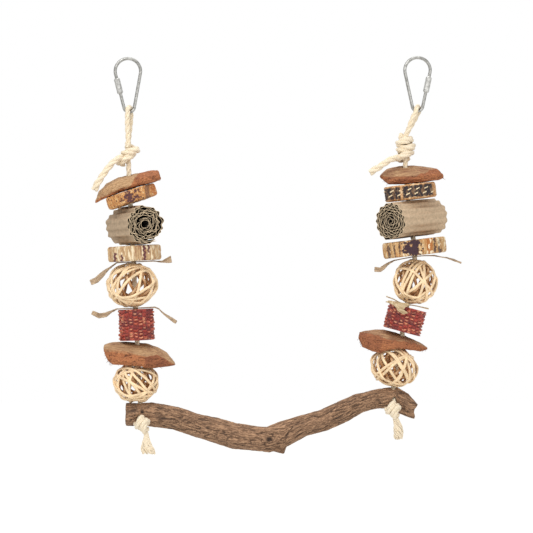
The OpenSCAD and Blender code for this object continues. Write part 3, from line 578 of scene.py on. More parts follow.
def laid_rope_tree():
    """Three strands laid round the input curve, parting towards its end, with stray fibres on them."""
    tree, given = new_tree("laid_rope", {"Rope Diameter": "Float", "Lay": "Float", "Parting": "Float",
                                         "Fuzz": "Float", "Seed": "Int", "Finish": "Material"})
    # Shares of the rope's diameter: how far a strand lies from the rope's middle, and the strand's radius
    strand_off, strand_r = 0.238, 0.268
    spline = add(tree, "GeometryNodeSplineParameter")
    along = spline.outputs["Length"]
    tangent, normal = add(tree, "GeometryNodeInputTangent"), add(tree, "GeometryNodeInputNormal")
    turns = add(tree, "ShaderNodeMath", {0: along, 1: given["Lay"]}, operation="DIVIDE")
    far = add(tree, "ShaderNodeMath", {0: spline.outputs["Factor"], 1: 3.0}, operation="POWER")
    parted = add(tree, "ShaderNodeMath", {0: far, 1: given["Parting"], 2: strand_off},
                 operation="MULTIPLY_ADD")
    reach = add(tree, "ShaderNodeMath", {0: parted, 1: given["Rope Diameter"]}, operation="MULTIPLY")
    radius = add(tree, "ShaderNodeMath", {0: given["Rope Diameter"], 1: strand_r}, operation="MULTIPLY")
    circle = add(tree, "GeometryNodeCurvePrimitiveCircle", {"Resolution": 10, "Radius": radius})
    place = add(tree, "GeometryNodeInputPosition")
    profile = add(tree, "GeometryNodeStoreNamedAttribute",
                  {"Geometry": circle, "Name": "rope_across", "Value": place}, data_type="FLOAT_VECTOR")
    rope = add(tree, "GeometryNodeJoinGeometry")
    for k in range(3):
        angle = add(tree, "ShaderNodeMath", {0: turns, 1: TURN, 2: TURN * k / 3}, operation="MULTIPLY_ADD")
        swing = add(tree, "ShaderNodeVectorRotate", {"Vector": normal, "Axis": tangent, "Angle": angle},
                    rotation_type="AXIS_ANGLE")
        offset = add(tree, "ShaderNodeVectorMath", {0: swing, "Scale": reach}, operation="SCALE")
        # A shift of 37 mm gives each strand its own fibres
        shift = add(tree, "ShaderNodeMath", {0: along, 1: 0.037 * k}, operation="ADD")
        marked = add(tree, "GeometryNodeStoreNamedAttribute",
                     {"Geometry": given["Geometry"], "Name": "rope_along", "Value": shift}, data_type="FLOAT")
        strand = add(tree, "GeometryNodeSetPosition", {0: marked, "Offset": offset})
        tube = add(tree, "GeometryNodeCurveToMesh", {0: strand, 1: profile, "Fill Caps": True})
        tree.links.new(tube.outputs[0], rope.inputs[0])
    spots = add(tree, "GeometryNodeDistributePointsOnFaces",
                {0: rope, "Density": given["Fuzz"], "Seed": given["Seed"]})
    # Hairs up to 2.5 mm long and about 0.1 mm thick, leaning up to 1.25 radians
    hair = add(tree, "GeometryNodeMeshCone",
               {"Vertices": 3, "Radius Top": 0.02 * MM, "Radius Bottom": 0.05 * MM, "Depth": 2.1 * MM})
    lean = add(tree, "FunctionNodeRandomValue",
               {0: (-1.25, -1.25, 0), 1: (1.25, 1.25, 6.28), "Seed": given["Seed"]}, data_type="FLOAT_VECTOR")
    tilt = add(tree, "FunctionNodeRotateRotation", {0: spots.outputs["Rotation"], 1: lean},
               rotation_space="LOCAL")
    size = add(tree, "FunctionNodeRandomValue", {2: 0.4, 3: 1.2, "Seed": given["Seed"]}, data_type="FLOAT")
    hairs = add(tree, "GeometryNodeInstanceOnPoints",
                {0: spots, "Instance": hair, "Rotation": tilt, "Scale": size.outputs[1]})
    whole = add(tree, "GeometryNodeJoinGeometry", {0: rope})
    tree.links.new(hairs.outputs[0], whole.inputs[0])
    end_tree(tree, whole, given["Finish"])


def vine_ball_tree():
    """The input vine and seeded great loops of vine round it, all as flat strips over a squashed sphere."""
    tree, given = new_tree("woven_ball", {
        "Loops": "Int", "Width": "Float", "Height": "Float", "Vine Width": "Float", "Vine Thickness": "Float",
        "Seed": "Int", "Finish": "Material"})
    dots = add(tree, "GeometryNodePoints", {"Count": given["Loops"]})
    hoop = add(tree, "GeometryNodeCurvePrimitiveCircle", {"Resolution": 72, "Radius": 1.0})
    # Each loop leans 0.55 to 1.5 radians from level, turned any way
    tilt = add(tree, "FunctionNodeRandomValue", {0: (0.55, 0, 0), 1: (1.5, 0, 6.28), "Seed": given["Seed"]},
               data_type="FLOAT_VECTOR")
    loops = add(tree, "GeometryNodeInstanceOnPoints", {0: dots, "Instance": hoop, "Rotation": tilt})
    kept = add(tree, "GeometryNodeStoreNamedAttribute",
               {"Geometry": loops, "Name": "loop", "Value": add(tree, "GeometryNodeInputIndex")},
               data_type="FLOAT", domain="INSTANCE")
    real = add(tree, "GeometryNodeRealizeInstances", {0: kept})
    place = add(tree, "GeometryNodeInputPosition")
    own = add(tree, "GeometryNodeInputNamedAttribute", {"Name": "loop"}, data_type="FLOAT")
    # Each loop wanders off its great circle and rises and sinks a little, by noise of its own
    wander, lift = (add(tree, "ShaderNodeTexNoise", {"Vector": place, "W": own, "Scale": scale, "Detail": 0},
                        noise_dimensions="4D") for scale in (0.8, 1.6))
    middle = add(tree, "ShaderNodeVectorMath", {0: wander.outputs[1], 1: (-0.5, -0.5, -0.5)}, operation="ADD")
    drift = add(tree, "ShaderNodeVectorMath", {0: middle, "Scale": 0.3}, operation="SCALE")
    loose = add(tree, "ShaderNodeVectorMath", {0: place, 1: drift}, operation="ADD")
    unit = add(tree, "ShaderNodeVectorMath", {0: loose}, operation="NORMALIZE")
    level = add(tree, "ShaderNodeMapRange",
                {"Value": lift, "From Min": 0.35, "From Max": 0.65, "To Min": 0.94, "To Max": 1.03})
    onto = add(tree, "ShaderNodeVectorMath", {0: unit, "Scale": level}, operation="SCALE")
    half_w, half_h = (add(tree, "ShaderNodeMath", {0: given[name], 1: 0.5}, operation="MULTIPLY")
                      for name in ("Width", "Height"))
    radii = add(tree, "ShaderNodeCombineXYZ", {0: half_w, 1: half_w, 2: half_h})
    sized = add(tree, "ShaderNodeVectorMath", {0: onto, 1: radii}, operation="MULTIPLY")
    laid = add(tree, "GeometryNodeSetPosition", {0: real, "Position": sized})
    both = add(tree, "GeometryNodeJoinGeometry", {0: given["Geometry"]})
    tree.links.new(laid.outputs[0], both.inputs[0])
    facing = add(tree, "GeometryNodeSetCurveNormal", {0: both, "Normal": place}, mode="FREE")
    circle = add(tree, "GeometryNodeCurvePrimitiveCircle", {"Resolution": 10, "Radius": 0.5})
    across = add(tree, "ShaderNodeCombineXYZ", {0: given["Vine Thickness"], 1: given["Vine Width"], 2: 1.0})
    profile = add(tree, "GeometryNodeTransform", {0: circle, "Scale": across})
    tubes = add(tree, "GeometryNodeCurveToMesh", {0: facing, 1: profile, "Fill Caps": True})
    end_tree(tree, tubes, given["Finish"])


def rope_piece(node, name, path, seed, swell=1.0, parting=0.0, fuzz=22000.0):
    """A laid rope along a path in millimetres, for a CAD node; swell is how much thicker it bulks."""
    values = {"Rope Diameter": sizes().rope_d * swell, "Lay": sizes().rope_lay * swell, "Parting": parting,
              "Fuzz": fuzz, "Seed": seed, "Finish": bpy.data.materials[ROPE]}
    return dress(run_tree(curve_object(name, [np.asarray(path) * MM]), "laid_rope", values), ROPE, node)


def box_mm(node):
    """Lowest and highest corners of a CAD node in millimetres."""
    low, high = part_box(node)
    return np.array(low) / MM, np.array(high) / MM


def middle_mm(node):
    """Middle of a CAD node's box in millimetres."""
    low, high = box_mm(node)
    return (low + high) / 2


def knot_top(side):
    """Middle of the top of an upper knot, in millimetres."""
    return np.array([middle_mm(side + "_top_knot")[0], 0, box_mm(side + "_top_knot")[1][2]])


def coil(turns, radius, pitch, slants, shifts, phase):
    """Turns of rope round a standing part, each with its own slant and sideways shift."""
    points = []
    for u in np.linspace(0, 1, round(turns * 26)):
        a = TURN * turns * u + math.radians(phase)
        slant, shift = (np.interp(u * (len(row) - 1), range(len(row)), row) for row in (slants, shifts))
        # The rope draws in to the standing part over the first and the last fifth of a turn
        draw = radius * min(1, 0.4 + min(u, 1 - u) * turns * 3.2)
        points.append((draw * math.cos(a) + shift, -draw * math.sin(a),
                       -KNOT_SWELL * sizes().rope_d / MM / 2 - pitch * turns * u + slant * math.cos(a)))
    return np.array(points)


class SWING_OT_camera(bpy.types.Operator):
    """Set the long-lens camera straight in front of the swing"""

    bl_idname = "swing.camera"
    bl_label = "Camera"

    def execute(self, context):
        # A long lens far away, so that the picture is 0.533 m wide where the swing hangs
        lens, sensor, view = 200.0, 36.0, 0.533
        data = bpy.data.cameras.new("camera")
        data.lens = lens
        data.sensor_width = sensor
        camera = link("camera", data)
        camera.location = (VIEW_X, -view * lens / sensor, VIEW_Z)
        camera.rotation_euler = (math.radians(90), 0, 0)
        context.scene.camera = camera
        return {"FINISHED"}


class SWING_OT_tails(bpy.types.Operator):
    """Make the free rope tails that leave the upper knots"""

    bl_idname = "swing.tails"
    bl_label = "Rope tails"

    def execute(self, context):
        for seed, side in enumerate(SIDES):
            path = smooth_path(knot_top(side) + np.array(TAIL_ROUTE[side]))
            tail = rope_piece(side + "_rope_tail", side + "_tail", path, 11 + seed, TAIL_SWELL, parting=0.08)
        return {"FINISHED"}


class SWING_OT_ropes(bpy.types.Operator):
    """Make the eyes, knots and standing parts of the two ropes"""

    bl_idname = "swing.ropes"
    bl_label = "Ropes and knots"

    def execute(self, context):
        forms = {
            "left": dict(turns=2.15, radius=6.0, pitch=7.6, slants=[-1.5, 0, 3, 1.5],
                         shifts=[2, 3.2, -1.5, -3], phase=200),
            "right": dict(turns=3.3, radius=6.5, pitch=7.2, slants=[-1.5, 1, -0.5, 1.5, 1],
                          shifts=[-1.5, 0.5, 2, -0.5, -0.5], phase=230),
        }
        rise = np.array([0, 0, 1.0])
        for seed, side in enumerate(SIDES):
            top = knot_top(side)
            rope_piece(side + "_rope_eye", side + "_eye", self.eye(side, top), 3 + seed)
            turns = smooth_path(top + rise + coil(**forms[side]))
            rope_piece(side + "_top_knot", side + "_knot", turns, 5 + seed, KNOT_SWELL)
            rope_piece(side + "_rope_core", side + "_core", self.core(side, top), 7 + seed, fuzz=12000.0)
        for seed, side in enumerate(SIDES):
            rope_piece(side + "_stopper_knot", side + "_stopper", self.stopper(side), 9 + seed, KNOT_SWELL)
        return {"FINISHED"}

    def eye(self, side, top):
        """Up the front, over the link's wire and down the back."""
        low, high = box_mm(side + "_rope_eye")
        rope_r = sizes().rope_d / MM / 2
        over_r = (high[1] - low[1]) / 2 - rope_r
        hinge = JOINT_OF["swing"]
        foot = np.array(hinge["pos_m"]) / MM
        if side == "right":
            foot = foot + np.array(hinge["axis"]) * (box_mm("right_link")[0][0] - box_mm("left_link")[0][0])
            foot[0] = middle_mm("right_link")[0]
        # The legs cross 3 mm sideways, and start 0.7 mm apart at the knot
        apart, cross_x = rope_r + 0.35, 1.5
        end = top - np.array([0, 0, 0.8 * 2 * rope_r])
        legs = [[end + (foot - end) * u + np.array([way * cross_x * ease(u, 0.1, 0.8),
                                                    way * (apart + (over_r - apart) * ease(u, 0, 1)), 0])
                 for u in np.linspace(0, 1, 7)] for way in (-1, 1)]
        bend = [foot + np.array([-cross_x * math.cos(a), -over_r * math.cos(a), over_r * math.sin(a)])
                for a in np.radians(range(20, 170, 20))]
        return smooth_path(legs[0] + bend + legs[1][::-1])

    def core(self, side, top):
        """Down through the ten pieces and obliquely through the perch, from 6 mm below the knot's top."""
        column = [np.array(JOINT_OF[f"{side}_{name}_piece"]["pos_m"]) / MM for name in THREADED]
        low, high = box_mm(side + "_vine_ball_lower")
        way = column[-1] - column[-2]
        # It bends 1.5 mm below the lowest ball
        foot = column[-1] + way / np.linalg.norm(way) * ((high[2] - low[2]) / 2 + 1.5)
        return smooth_path([top - np.array([0, 0, 6])] + column + [foot, middle_mm(side + "_stopper_knot")])

    def stopper(self, side):
        """A tight barrel of rope under the perch, leaning down to the right."""
        shape = coil(turns=2.3, radius=4.6, pitch=5.0, slants=[1.5, -1, 1], shifts=[0, 1, 0], phase=150)
        shape = shape - (shape.min(0) + shape.max(0)) / 2 * np.array([0, 0, 1])
        down = Vector(STOPPER_WAY[side]).normalized()
        turn = np.array(Vector((0, 0, -1)).rotation_difference(down).to_matrix())
        return smooth_path(middle_mm(side + "_stopper_knot") + np.array(SNUG[side]) + shape @ turn.T)


class SWING_OT_frayed_ends(bpy.types.Operator):
    """Make the unlaid yarns below the stopper knots"""

    bl_idname = "swing.frayed_ends"
    bl_label = "Frayed ends"

    def execute(self, context):
        # For each side: the bundle's radii down its length, its turns of twist, its sideways bow, its yarns,
        # and where it starts in the width of its solid
        forms = {"left": ((1.6, 2.6, 4.6, 6.4, 7.2), 0.25, -1.0, 150, 0.72),
                 "right": ((2.4, 3.6, 4.6, 4.6, 4.0), 0.7, 1.5, 110, 0.4)}
        for seed, side in enumerate(SIDES):
            low, high = box_mm(side + "_frayed_end")
            radii, twist, bow, count, lean = forms[side]
            chance = np.random.default_rng(40 + seed)
            middle, width, flat = middle_mm(side + "_frayed_end")[1], high[0] - low[0], 0.7
            # The yarns start 3 mm up inside the knot
            start = np.array([low[0] + width * lean, middle, high[2] + 3.0])
            foot = np.array([low[0] + width * (lean + 0.16), middle, low[2]])
            paths = []
            for _ in range(count):
                share, phase = math.sqrt(chance.uniform(0.02, 1)), chance.uniform(0, TURN)
                reach, waves = chance.uniform(0.8, 1.0), chance.uniform(1.0, 2.2)
                points = []
                for u in np.linspace(0, reach, 10):
                    radius = share * np.interp(u * 4, range(5), radii)
                    a = phase + TURN * twist * u
                    wave = 0.55 * u * math.sin(TURN * waves * u + 3 * phase)
                    aside = radius * math.cos(a) + wave + bow * math.sin(math.pi * u)
                    off = np.array([aside, flat * radius * math.sin(a), 0])
                    points.append(start + (foot - start) * u + off)
                paths.append(smooth_path(points, 1.2) * MM)
            dress(fine_strands(side + "_fray", paths, 0.42, 1), ROPE, side + "_frayed_end")
        return {"FINISHED"}


class SWING_OT_links(bpy.types.Operator):
    """Finish the quick links and their screw sleeves"""

    bl_idname = "swing.links"
    bl_label = "Quick links"

    def execute(self, context):
        for side in SIDES:
            for name, finish in (("_link", "zinc_plated_wire"), ("_link_sleeve", "zinc_plated_sleeve")):
                materials = frame["nodes"][side + name].data.materials
                materials.clear()
                materials.append(bpy.data.materials[finish])
        return {"FINISHED"}


class SWING_OT_husks(bpy.types.Operator):
    """Make the four chunks of coconut husk"""

    bl_idname = "swing.husks"
    bl_label = "Husk chunks"

    def execute(self, context):
        # For each chunk, as x and z in its own frame: the ridge down its front, how much painted shade the fibre
        # gets left and right of it, where its faces turn from the light, and the line under which the outer skin
        # ends; without a line, the skin is the cut left of the ridge. Then how much thicker it is drawn, how much
        # painted shade its skin gets, and how many loose fibres stand out of it by how many millimetres
        looks = {
            "left_husk_upper": (((12.0, 5.6), (-1.2, -7.0)), 0.0, 0.25, None, 1.0, 0, 12, 1.5),
            "right_husk_upper": (((5.7, -5.4), (7.0, -11.1)), 0.55, 0.3,
                                 ((-26.2, 2.8), (-10.4, -4.5), (5.7, -4.0), (20.2, 0.5), (32.6, 3.5)),
                                 1.08, 0.5, 25, 1.8),
            "left_husk_lower": (((8.3, -4.0), (6.9, -21.0)), 0.0, 0.55,
                                ((-33.8, 3.5), (-13.8, 0.0), (8.3, -4.0), (20.1, -3.0), (28.0, -6.9),
                                 (35.4, -16.2)), 1.0, 0.22, 70, 2.2),
            "right_husk_lower": (((-19.5, 0.1), (-18.5, -12.0)), 0.5, 0.32,
                                 ((-41.5, 2.5), (-20.8, 1.8), (-15.3, -0.4), (7.8, 0.8), (22.3, -1.4),
                                  (27.6, -2.5)), 1.0, 0.5, 50, 3.2),
        }
        for seed, (node, (ridge, left, right, line, thick, skin_shade, count, longest)) in enumerate(looks.items()):
            piece = cad_copy(node, 0.55, 3)
            thicken(piece, node, thick)
            local = to_local(node, places(piece))
            across, depth, height = local.T
            facing = outward(piece)
            looking = local_normals(node, piece)
            tear = rough(local, (3.5, 3.5, 1.2), seed + 20) * 0.9
            (top_x, top_z), (low_x, low_z) = ridge
            side = across - (top_x + (low_x - top_x) * (height - top_z) / (low_z - top_z)) + tear * 0.4
            if line:
                edge = np.interp(across, *zip(*line))
                skin = ease(height - edge + tear, -0.5, 0.5) * ease(looking[:, 2], -0.2, 0.15)
            else:
                rim = self.lower_rim(across, height) + 2.0
                skin = fade(side, -0.7, 0.7) * ease(height - rim + tear, -0.5, 0.5)
            fibre = rough(local, (12, 1.2, 1.2), seed) * 0.5 + rough(local, (4, 0.6, 0.6), seed + 5, 1) * 0.16
            split = fade(np.abs(rough(local, (16, 1.5, 1.5), seed + 13)), 0.0, 0.13)
            lumps = rough(local, (9, 7, 7), seed + 9) * 0.5
            crease = 0.4 * fade(np.abs(side), 0, 1.2) * (1 - skin)
            push = (fibre - 0.8 * split) * (1 - 0.8 * skin) + lumps - crease
            # The relief ends round the rope's hole and on the flat underside
            push = push * ease(np.hypot(across, depth), 4.0, 7.0) * (1 - 0.7 * ease(-looking[:, 2], 0.6, 0.9))
            move(piece, places(piece) + facing * push[:, None] * MM)
            # Painted shade: the fibre is darker on one side of the ridge, where its faces turn from the light, and
            # the skin by its own share; noise and fine streaks on the skin vary it
            shade = (left + (right - left) * ease(side, -0.8, 0.8)) * (1 - skin) + skin_shade * skin
            streak = skin * rough(local, (11, 1.1, 1.1), seed + 40) * 0.32
            shade = clip(shade + 0.25 * rough(local, (8, 5, 4), seed + 30) + streak)
            added = self.loose_fibres(piece, node, looking, seed, count, longest)
            store(piece, local=np.vstack([local, to_local(node, places(piece)[len(local):])]))
            # Painted shade in the cracks, less on the skin; the loose fibres get fixed shares of both shades
            crack = clip(split * (0.85 - 0.55 * skin))
            for name, values, fibres in (("skin", skin, 0.0), ("shade", shade, 0.6), ("crack", crack, 0.2)):
                store(piece, **{name: np.concatenate([values, np.full(added, fibres)])})
            dress(piece, "torn_coconut_husk", node)
        return {"FINISHED"}

    def lower_rim(self, across, height, wide=2, count=61):
        """The lowest height of a chunk at each point's x, found in slots of x."""
        slots = np.clip(((across - across.min()) / wide).astype(int), 0, count - 1)
        lowest = [height[slots == k].min() if (slots == k).any() else 0 for k in range(count)]
        return np.interp(across, across.min() + wide / 2 + wide * np.arange(count), lowest)

    def loose_fibres(self, piece, node, looking, seed, count, longest):
        """Adds fibres that stand out of the lower edges of the torn faces; gives back how many vertices."""
        chance = np.random.default_rng(60 + seed)
        torn = np.nonzero((looking[:, 2] < -0.3) & (looking[:, 2] > -0.85))[0]
        matrix = np.array(piece_matrix(node).to_3x3())
        start = places(piece)
        paths = []
        for k in chance.choice(torn, count):
            way = looking[k] + np.array([chance.uniform(-0.9, 0.9), 0, -0.2])
            bend = np.array([chance.uniform(-0.7, 0.7), 0, -0.35])
            far = chance.uniform(0.8, longest)
            root = -0.3 * looking[k]
            paths.append(np.array([start[k] + matrix @ (way * u * far + bend * u * u * far + root) * MM
                                   for u in np.linspace(0, 1, 5)]))
        return join(piece, fine_strands("fibres", paths, 0.14, 0))


class SWING_OT_slices(bpy.types.Operator):
    """Make the four slices"""

    bl_idname = "swing.slices"
    bl_label = "Slices"

    def execute(self, context):
        # For each slice: its finish, its marks, how high its ribs are and how much thicker it is drawn
        looks = {"left_slice_upper": ("mottled_slice", self.cluster, 0.7, 1.03),
                 "left_slice_lower": ("striped_slice", self.zigzags, 0.8, 1.0),
                 "right_slice_upper": ("black_slice", self.dashes, 0.35, 1.1),
                 "right_slice_lower": ("blotched_slice", self.blotch, 0.7, 1.0)}
        rim_r = 26
        for seed, (node, (finish, marks, rib, thick)) in enumerate(looks.items()):
            piece = cad_copy(node, 0.5, 3)
            thicken(piece, node, thick)
            local = to_local(node, places(piece))
            angle, radius = polar(local)
            around = columns(np.cos(angle) * rim_r, np.sin(angle) * rim_r, local[:, 2] * 0.25)
            ribs = rough(around, (2.6, 2.6, 6), seed) * rib
            grit = rough(local, (1.2, 1.2, 1.2), seed + 3) * 0.25
            at = SimpleNamespace(
                across=local[:, 0], depth=local[:, 1], height=local[:, 2], radius=radius,
                rim=columns(angle * rim_r, 0.0, local[:, 2]),
                ragged=rough(local, (1.9, 1.9, 1.9), 50), fine=rough(local, (0.9, 0.9, 0.9), 60))
            warm, light, dark = marks(at)
            flat = np.abs(local_normals(node, piece)[:, 2])
            push = ((ribs - 0.5 * dark) * ease(radius, 8, 20) * (1 - 0.85 * flat) + grit) * MM
            move(piece, places(piece) + outward(piece) * push[:, None])
            store(piece, rim=columns(angle * rim_r, radius, local[:, 2]), warm=warm, light=light, dark=dark)
            dress(piece, finish, node)
        return {"FINISHED"}

    # Each function below gives the shares of a slice's warm, light and dark colours at its points, from their
    # places, also along and up the rim, and from ragged and fine noise, whose lumps are 1.9 and 0.9 mm

    def cluster(self, at):
        """A dark cluster on the front, small dark specks, and a painted grey shadow before the warm right end."""
        inside = 0.95 - np.hypot((at.across - 1) / 13, at.height / 11)
        patch = ease(inside + 0.6 * at.ragged + 0.5 * at.fine, 0.35, 0.5) * 0.95
        specks = ease(0.7 * at.ragged + 0.6 * at.fine, 0.5, 0.62) * 0.8
        # Painted shadow: a grey band across the front, before the warm right end
        grey = fade(np.abs(at.across - 19 - 0.25 * at.height), 1.6, 2.8) * 0.55
        light = ease(at.fine - 0.5 * at.ragged, 0.5, 0.8) * 0.8
        dark = np.maximum(patch, specks) * fade(at.across, 16, 18)
        return ease(at.across, 21, 23) * 0.6, light, clip(np.maximum(dark, grey))

    def zigzags(self, at):
        """Four dark zigzags on the front, 4.4 mm from bend to bend, grooves and pale ribs."""
        zigzag = 1.3 * (2 * np.abs((at.height / 4.4) % 1 - 0.5) - 0.5)
        dark = 0
        for x, low, high in ((-17.5, -8, 1), (-10.5, -8, -1), (12.5, -8, 8), (16.5, 0, 8)):
            inside = ease(at.height, low - 0.7, low + 0.3) * fade(at.height, high - 0.3, high + 0.7)
            away = np.abs(at.across - x - zigzag + 0.5 * at.ragged)
            dark = np.maximum(dark, fade(away, 0.7, 1.3) * inside)
        groove = ease(rough(at.rim, (1.1, 1, 9), 5), 0.25, 0.6) * 0.75
        light = ease(rough(at.rim, (1.6, 1, 8), 9), 0.2, 0.5) * 0.75
        return groove, light, dark * ease(-at.depth, 0, 4) * 0.95

    def dashes(self, at):
        """A black rim in two parts, with two rows of slanted cream dashes 8.6 mm apart."""
        body = ease(6.4 + 0.8 * at.ragged - np.abs(at.height), 0, 0.9) * ease(at.radius, 17, 20)
        seam = fade(np.abs(at.across + 7.5 + 0.3 * at.ragged), 0.7, 1.5)
        body = body * (1 - seam * ease(-at.depth, 0, 4)) * fade(at.across, 23.5, 25.5)
        step = 8.6
        row = np.where(at.height > 0, 0.0, 0.25 * step)
        run = ((at.across + 3.6 + row) / step % 1 - 0.5) * step
        level = np.where(at.height > 0.2, at.height - 2.4, at.height + 2.2)
        slanted = level - 0.38 * run
        dash = fade(np.abs(run) + 0.3 * at.fine, 1.6, 2.3) * fade(np.abs(slanted + 0.15 * at.fine), 0.35, 0.8)
        light = np.maximum(dash * body, ease(at.fine + at.ragged, 0.9, 1.2) * 0.6)
        faded = 0.3 * ease(rough(at.rim, (1.4, 1, 5), 15) + 0.5 * at.fine, 0.1, 0.7)
        return 0.4 * ease(at.ragged, 0, 0.5), light, clip(body * (1 - faded) - dash - 0.3 * light)

    def blotch(self, at):
        """A dark blotch with a small pale star, dark stripes near both ends and a warm stripe."""
        inside = 1.2 - np.hypot((at.across + 3) / 10.5, at.height / 9.5)
        patch = ease(inside + 0.45 * at.ragged, 0.28, 0.42)
        star = fade(np.hypot(at.across + 4.5, at.height - 2.5) + 0.9 * at.fine, 0.7, 1.5)
        stripes = 0
        for x, wide in ((24.5, 1.3), (19.5, 0.8), (-21, 0.7), (-26.5, 0.8), (-15.5, 0.6)):
            stripes = np.maximum(stripes, fade(np.abs(at.across - x + 0.9 * at.ragged), wide, wide + 0.7))
        stripes = stripes * ease(rough(at.rim, (2.4, 1, 3.2), 4), -0.5, -0.1)
        ribs = 0.5 * ease(rough(at.rim, (1.6, 1, 7), 8), 0.3, 0.6)
        warm = fade(np.abs(at.across - 14 + 0.6 * at.ragged), 2.4, 3.6) + ribs
        light = ease(rough(at.rim, (1.8, 1, 6), 11) + 0.5 * at.fine, 0.3, 0.6) * 0.8
        return clip(warm), light, np.maximum(patch * (1 - star), stripes * 0.85) * ease(-at.depth, -2, 2)


class SWING_OT_rolls(bpy.types.Operator):
    """Roll up the single-faced corrugated board"""

    bl_idname = "swing.rolls"
    bl_label = "Corrugated rolls"

    def execute(self, context):
        # For each side: the length, the yaw, where the roll starts, its turns, how crumpled its papers are,
        # and how far it is pressed wide and lies off the rope
        forms = {"left": (57.0, 25, 60, 6.0, 1.2, 1.08, 3.2), "right": (66.0, -43, 120, 6.0, 0.35, 1.03, 2.0)}
        for seed, (side, (length, yaw, start, turns, crumple, wide, off)) in enumerate(forms.items()):
            node = side + "_cardboard_roll"
            yaw, start = math.radians(yaw), math.radians(start)
            papers = self.sheets(node, length, yaw, start, turns, seed, crumple, wide, off)
            piece = walled(papers, sizes().paper_t)
            # Inside the roll little light reaches the papers, but their cut edges at the ends stay pale
            local = to_local(node, places(piece))
            axis = np.array([-math.sin(yaw), math.cos(yaw), 0])
            spoke = local - (local @ axis)[:, None] * axis
            radius = np.linalg.norm(spoke, axis=1)
            fields = piece.data.attributes
            outmost = numbers(fields["outmost"].data, "value", 1)[:, 0]
            along = numbers(fields["local"].data, "vector")[:, 0]
            outwards = (local_normals(node, piece) * spoke).sum(1) / np.maximum(radius, 1)
            outer = ease(outwards, -0.5, -0.2) * outmost
            inwards = ease(length / 2 - np.abs(along), 0.02, 0.2)
            # Painted shade also in the valleys between the outer flutes, and towards the middle of the roll
            valley_shade = 0.22 * outmost * fade(radius, 16.6, 18.6)
            middle = 0.25 * fade(radius, 6, 14)
            store(piece, edge=(1 - inwards) * 0.7,
                  depth=np.maximum(np.maximum(inwards, middle) * (1 - outer) * 0.97, valley_shade * outer))
            dress(piece, "kraft_board", node)
        return {"FINISHED"}

    def sheets(self, node, length, yaw, start, turns, seed, crumple, wide, off):
        """The liner in its spiral and the fluted paper outside it, open where the rope goes through."""
        outside, pitch, core, bore = 18.0, 7.0, 1.1, 3.4
        step = (outside - core) / turns
        board = math.pi * turns * (2 * core + step * turns)
        count = round(board / pitch * 12)
        run = np.linspace(0, board, count)
        # How much of the outermost turn of board is still to come, at its radius of 17 mm
        outmost_r = 17
        to_come = (board - run) / (TURN * outmost_r)
        angle = (np.sqrt(core ** 2 + run * step / math.pi) - core) * TURN / step
        liner = core + step * angle / TURN
        here = columns(run, 0.0, seed * 9.0)
        slack = crumple * (1 - (run / board) ** 6)
        slip = rough(here, (9, 1, 1), seed) * (0.4 + 3.0 * slack)
        crush = 0.86 + (0.08 + 0.3 * slack) * rough(here, (10, 1, 1), seed + 4)
        sag = rough(here, (5.5, 1, 1), seed + 6) * 1.3 * slack
        rise = (step - 0.7) * crush * (1 - np.cos(TURN * (run + slip) / pitch)) / 2
        rise = rise * (1 - 0.12 * fade(to_come, 15 / outmost_r, 1))
        half = np.concatenate([np.linspace(0.5, 4, 4), np.linspace(5, length / 2 - 3, 6),
                               [length / 2 - 0.22, length / 2]])
        ends = np.concatenate([-half[::-1], half])
        points, faces = [], []
        for radius in (liner + sag, liner + sag + 0.5 + rise):
            faces += quads(count, len(ends), len(points))
            for i in range(count):
                for at in ends:
                    r = radius[i] + 0.25 * math.sin(at / 9 + run[i] / 40) * run[i] / board
                    x, z = wide * r * math.cos(angle[i] - start) + off, r * math.sin(angle[i] - start)
                    y = at * (1 + 0.012 * math.sin(run[i] / 3.1 + seed))
                    points.append((x * math.cos(yaw) - y * math.sin(yaw),
                                   x * math.sin(yaw) + y * math.cos(yaw), z))
        points = np.array(points)
        clear = polar(points)[1] > bore
        faces = [face for face in faces if clear[list(face)].all()]
        piece = mesh_piece(node + "_piece", to_world(node, points), faces)
        outmost = np.concatenate([np.zeros(count), to_come < 17.3 / outmost_r])
        store(piece, local=columns(np.tile(ends, 2 * count), points[:, 0], points[:, 2]),
              outmost=np.repeat(outmost, len(ends)))
        return piece


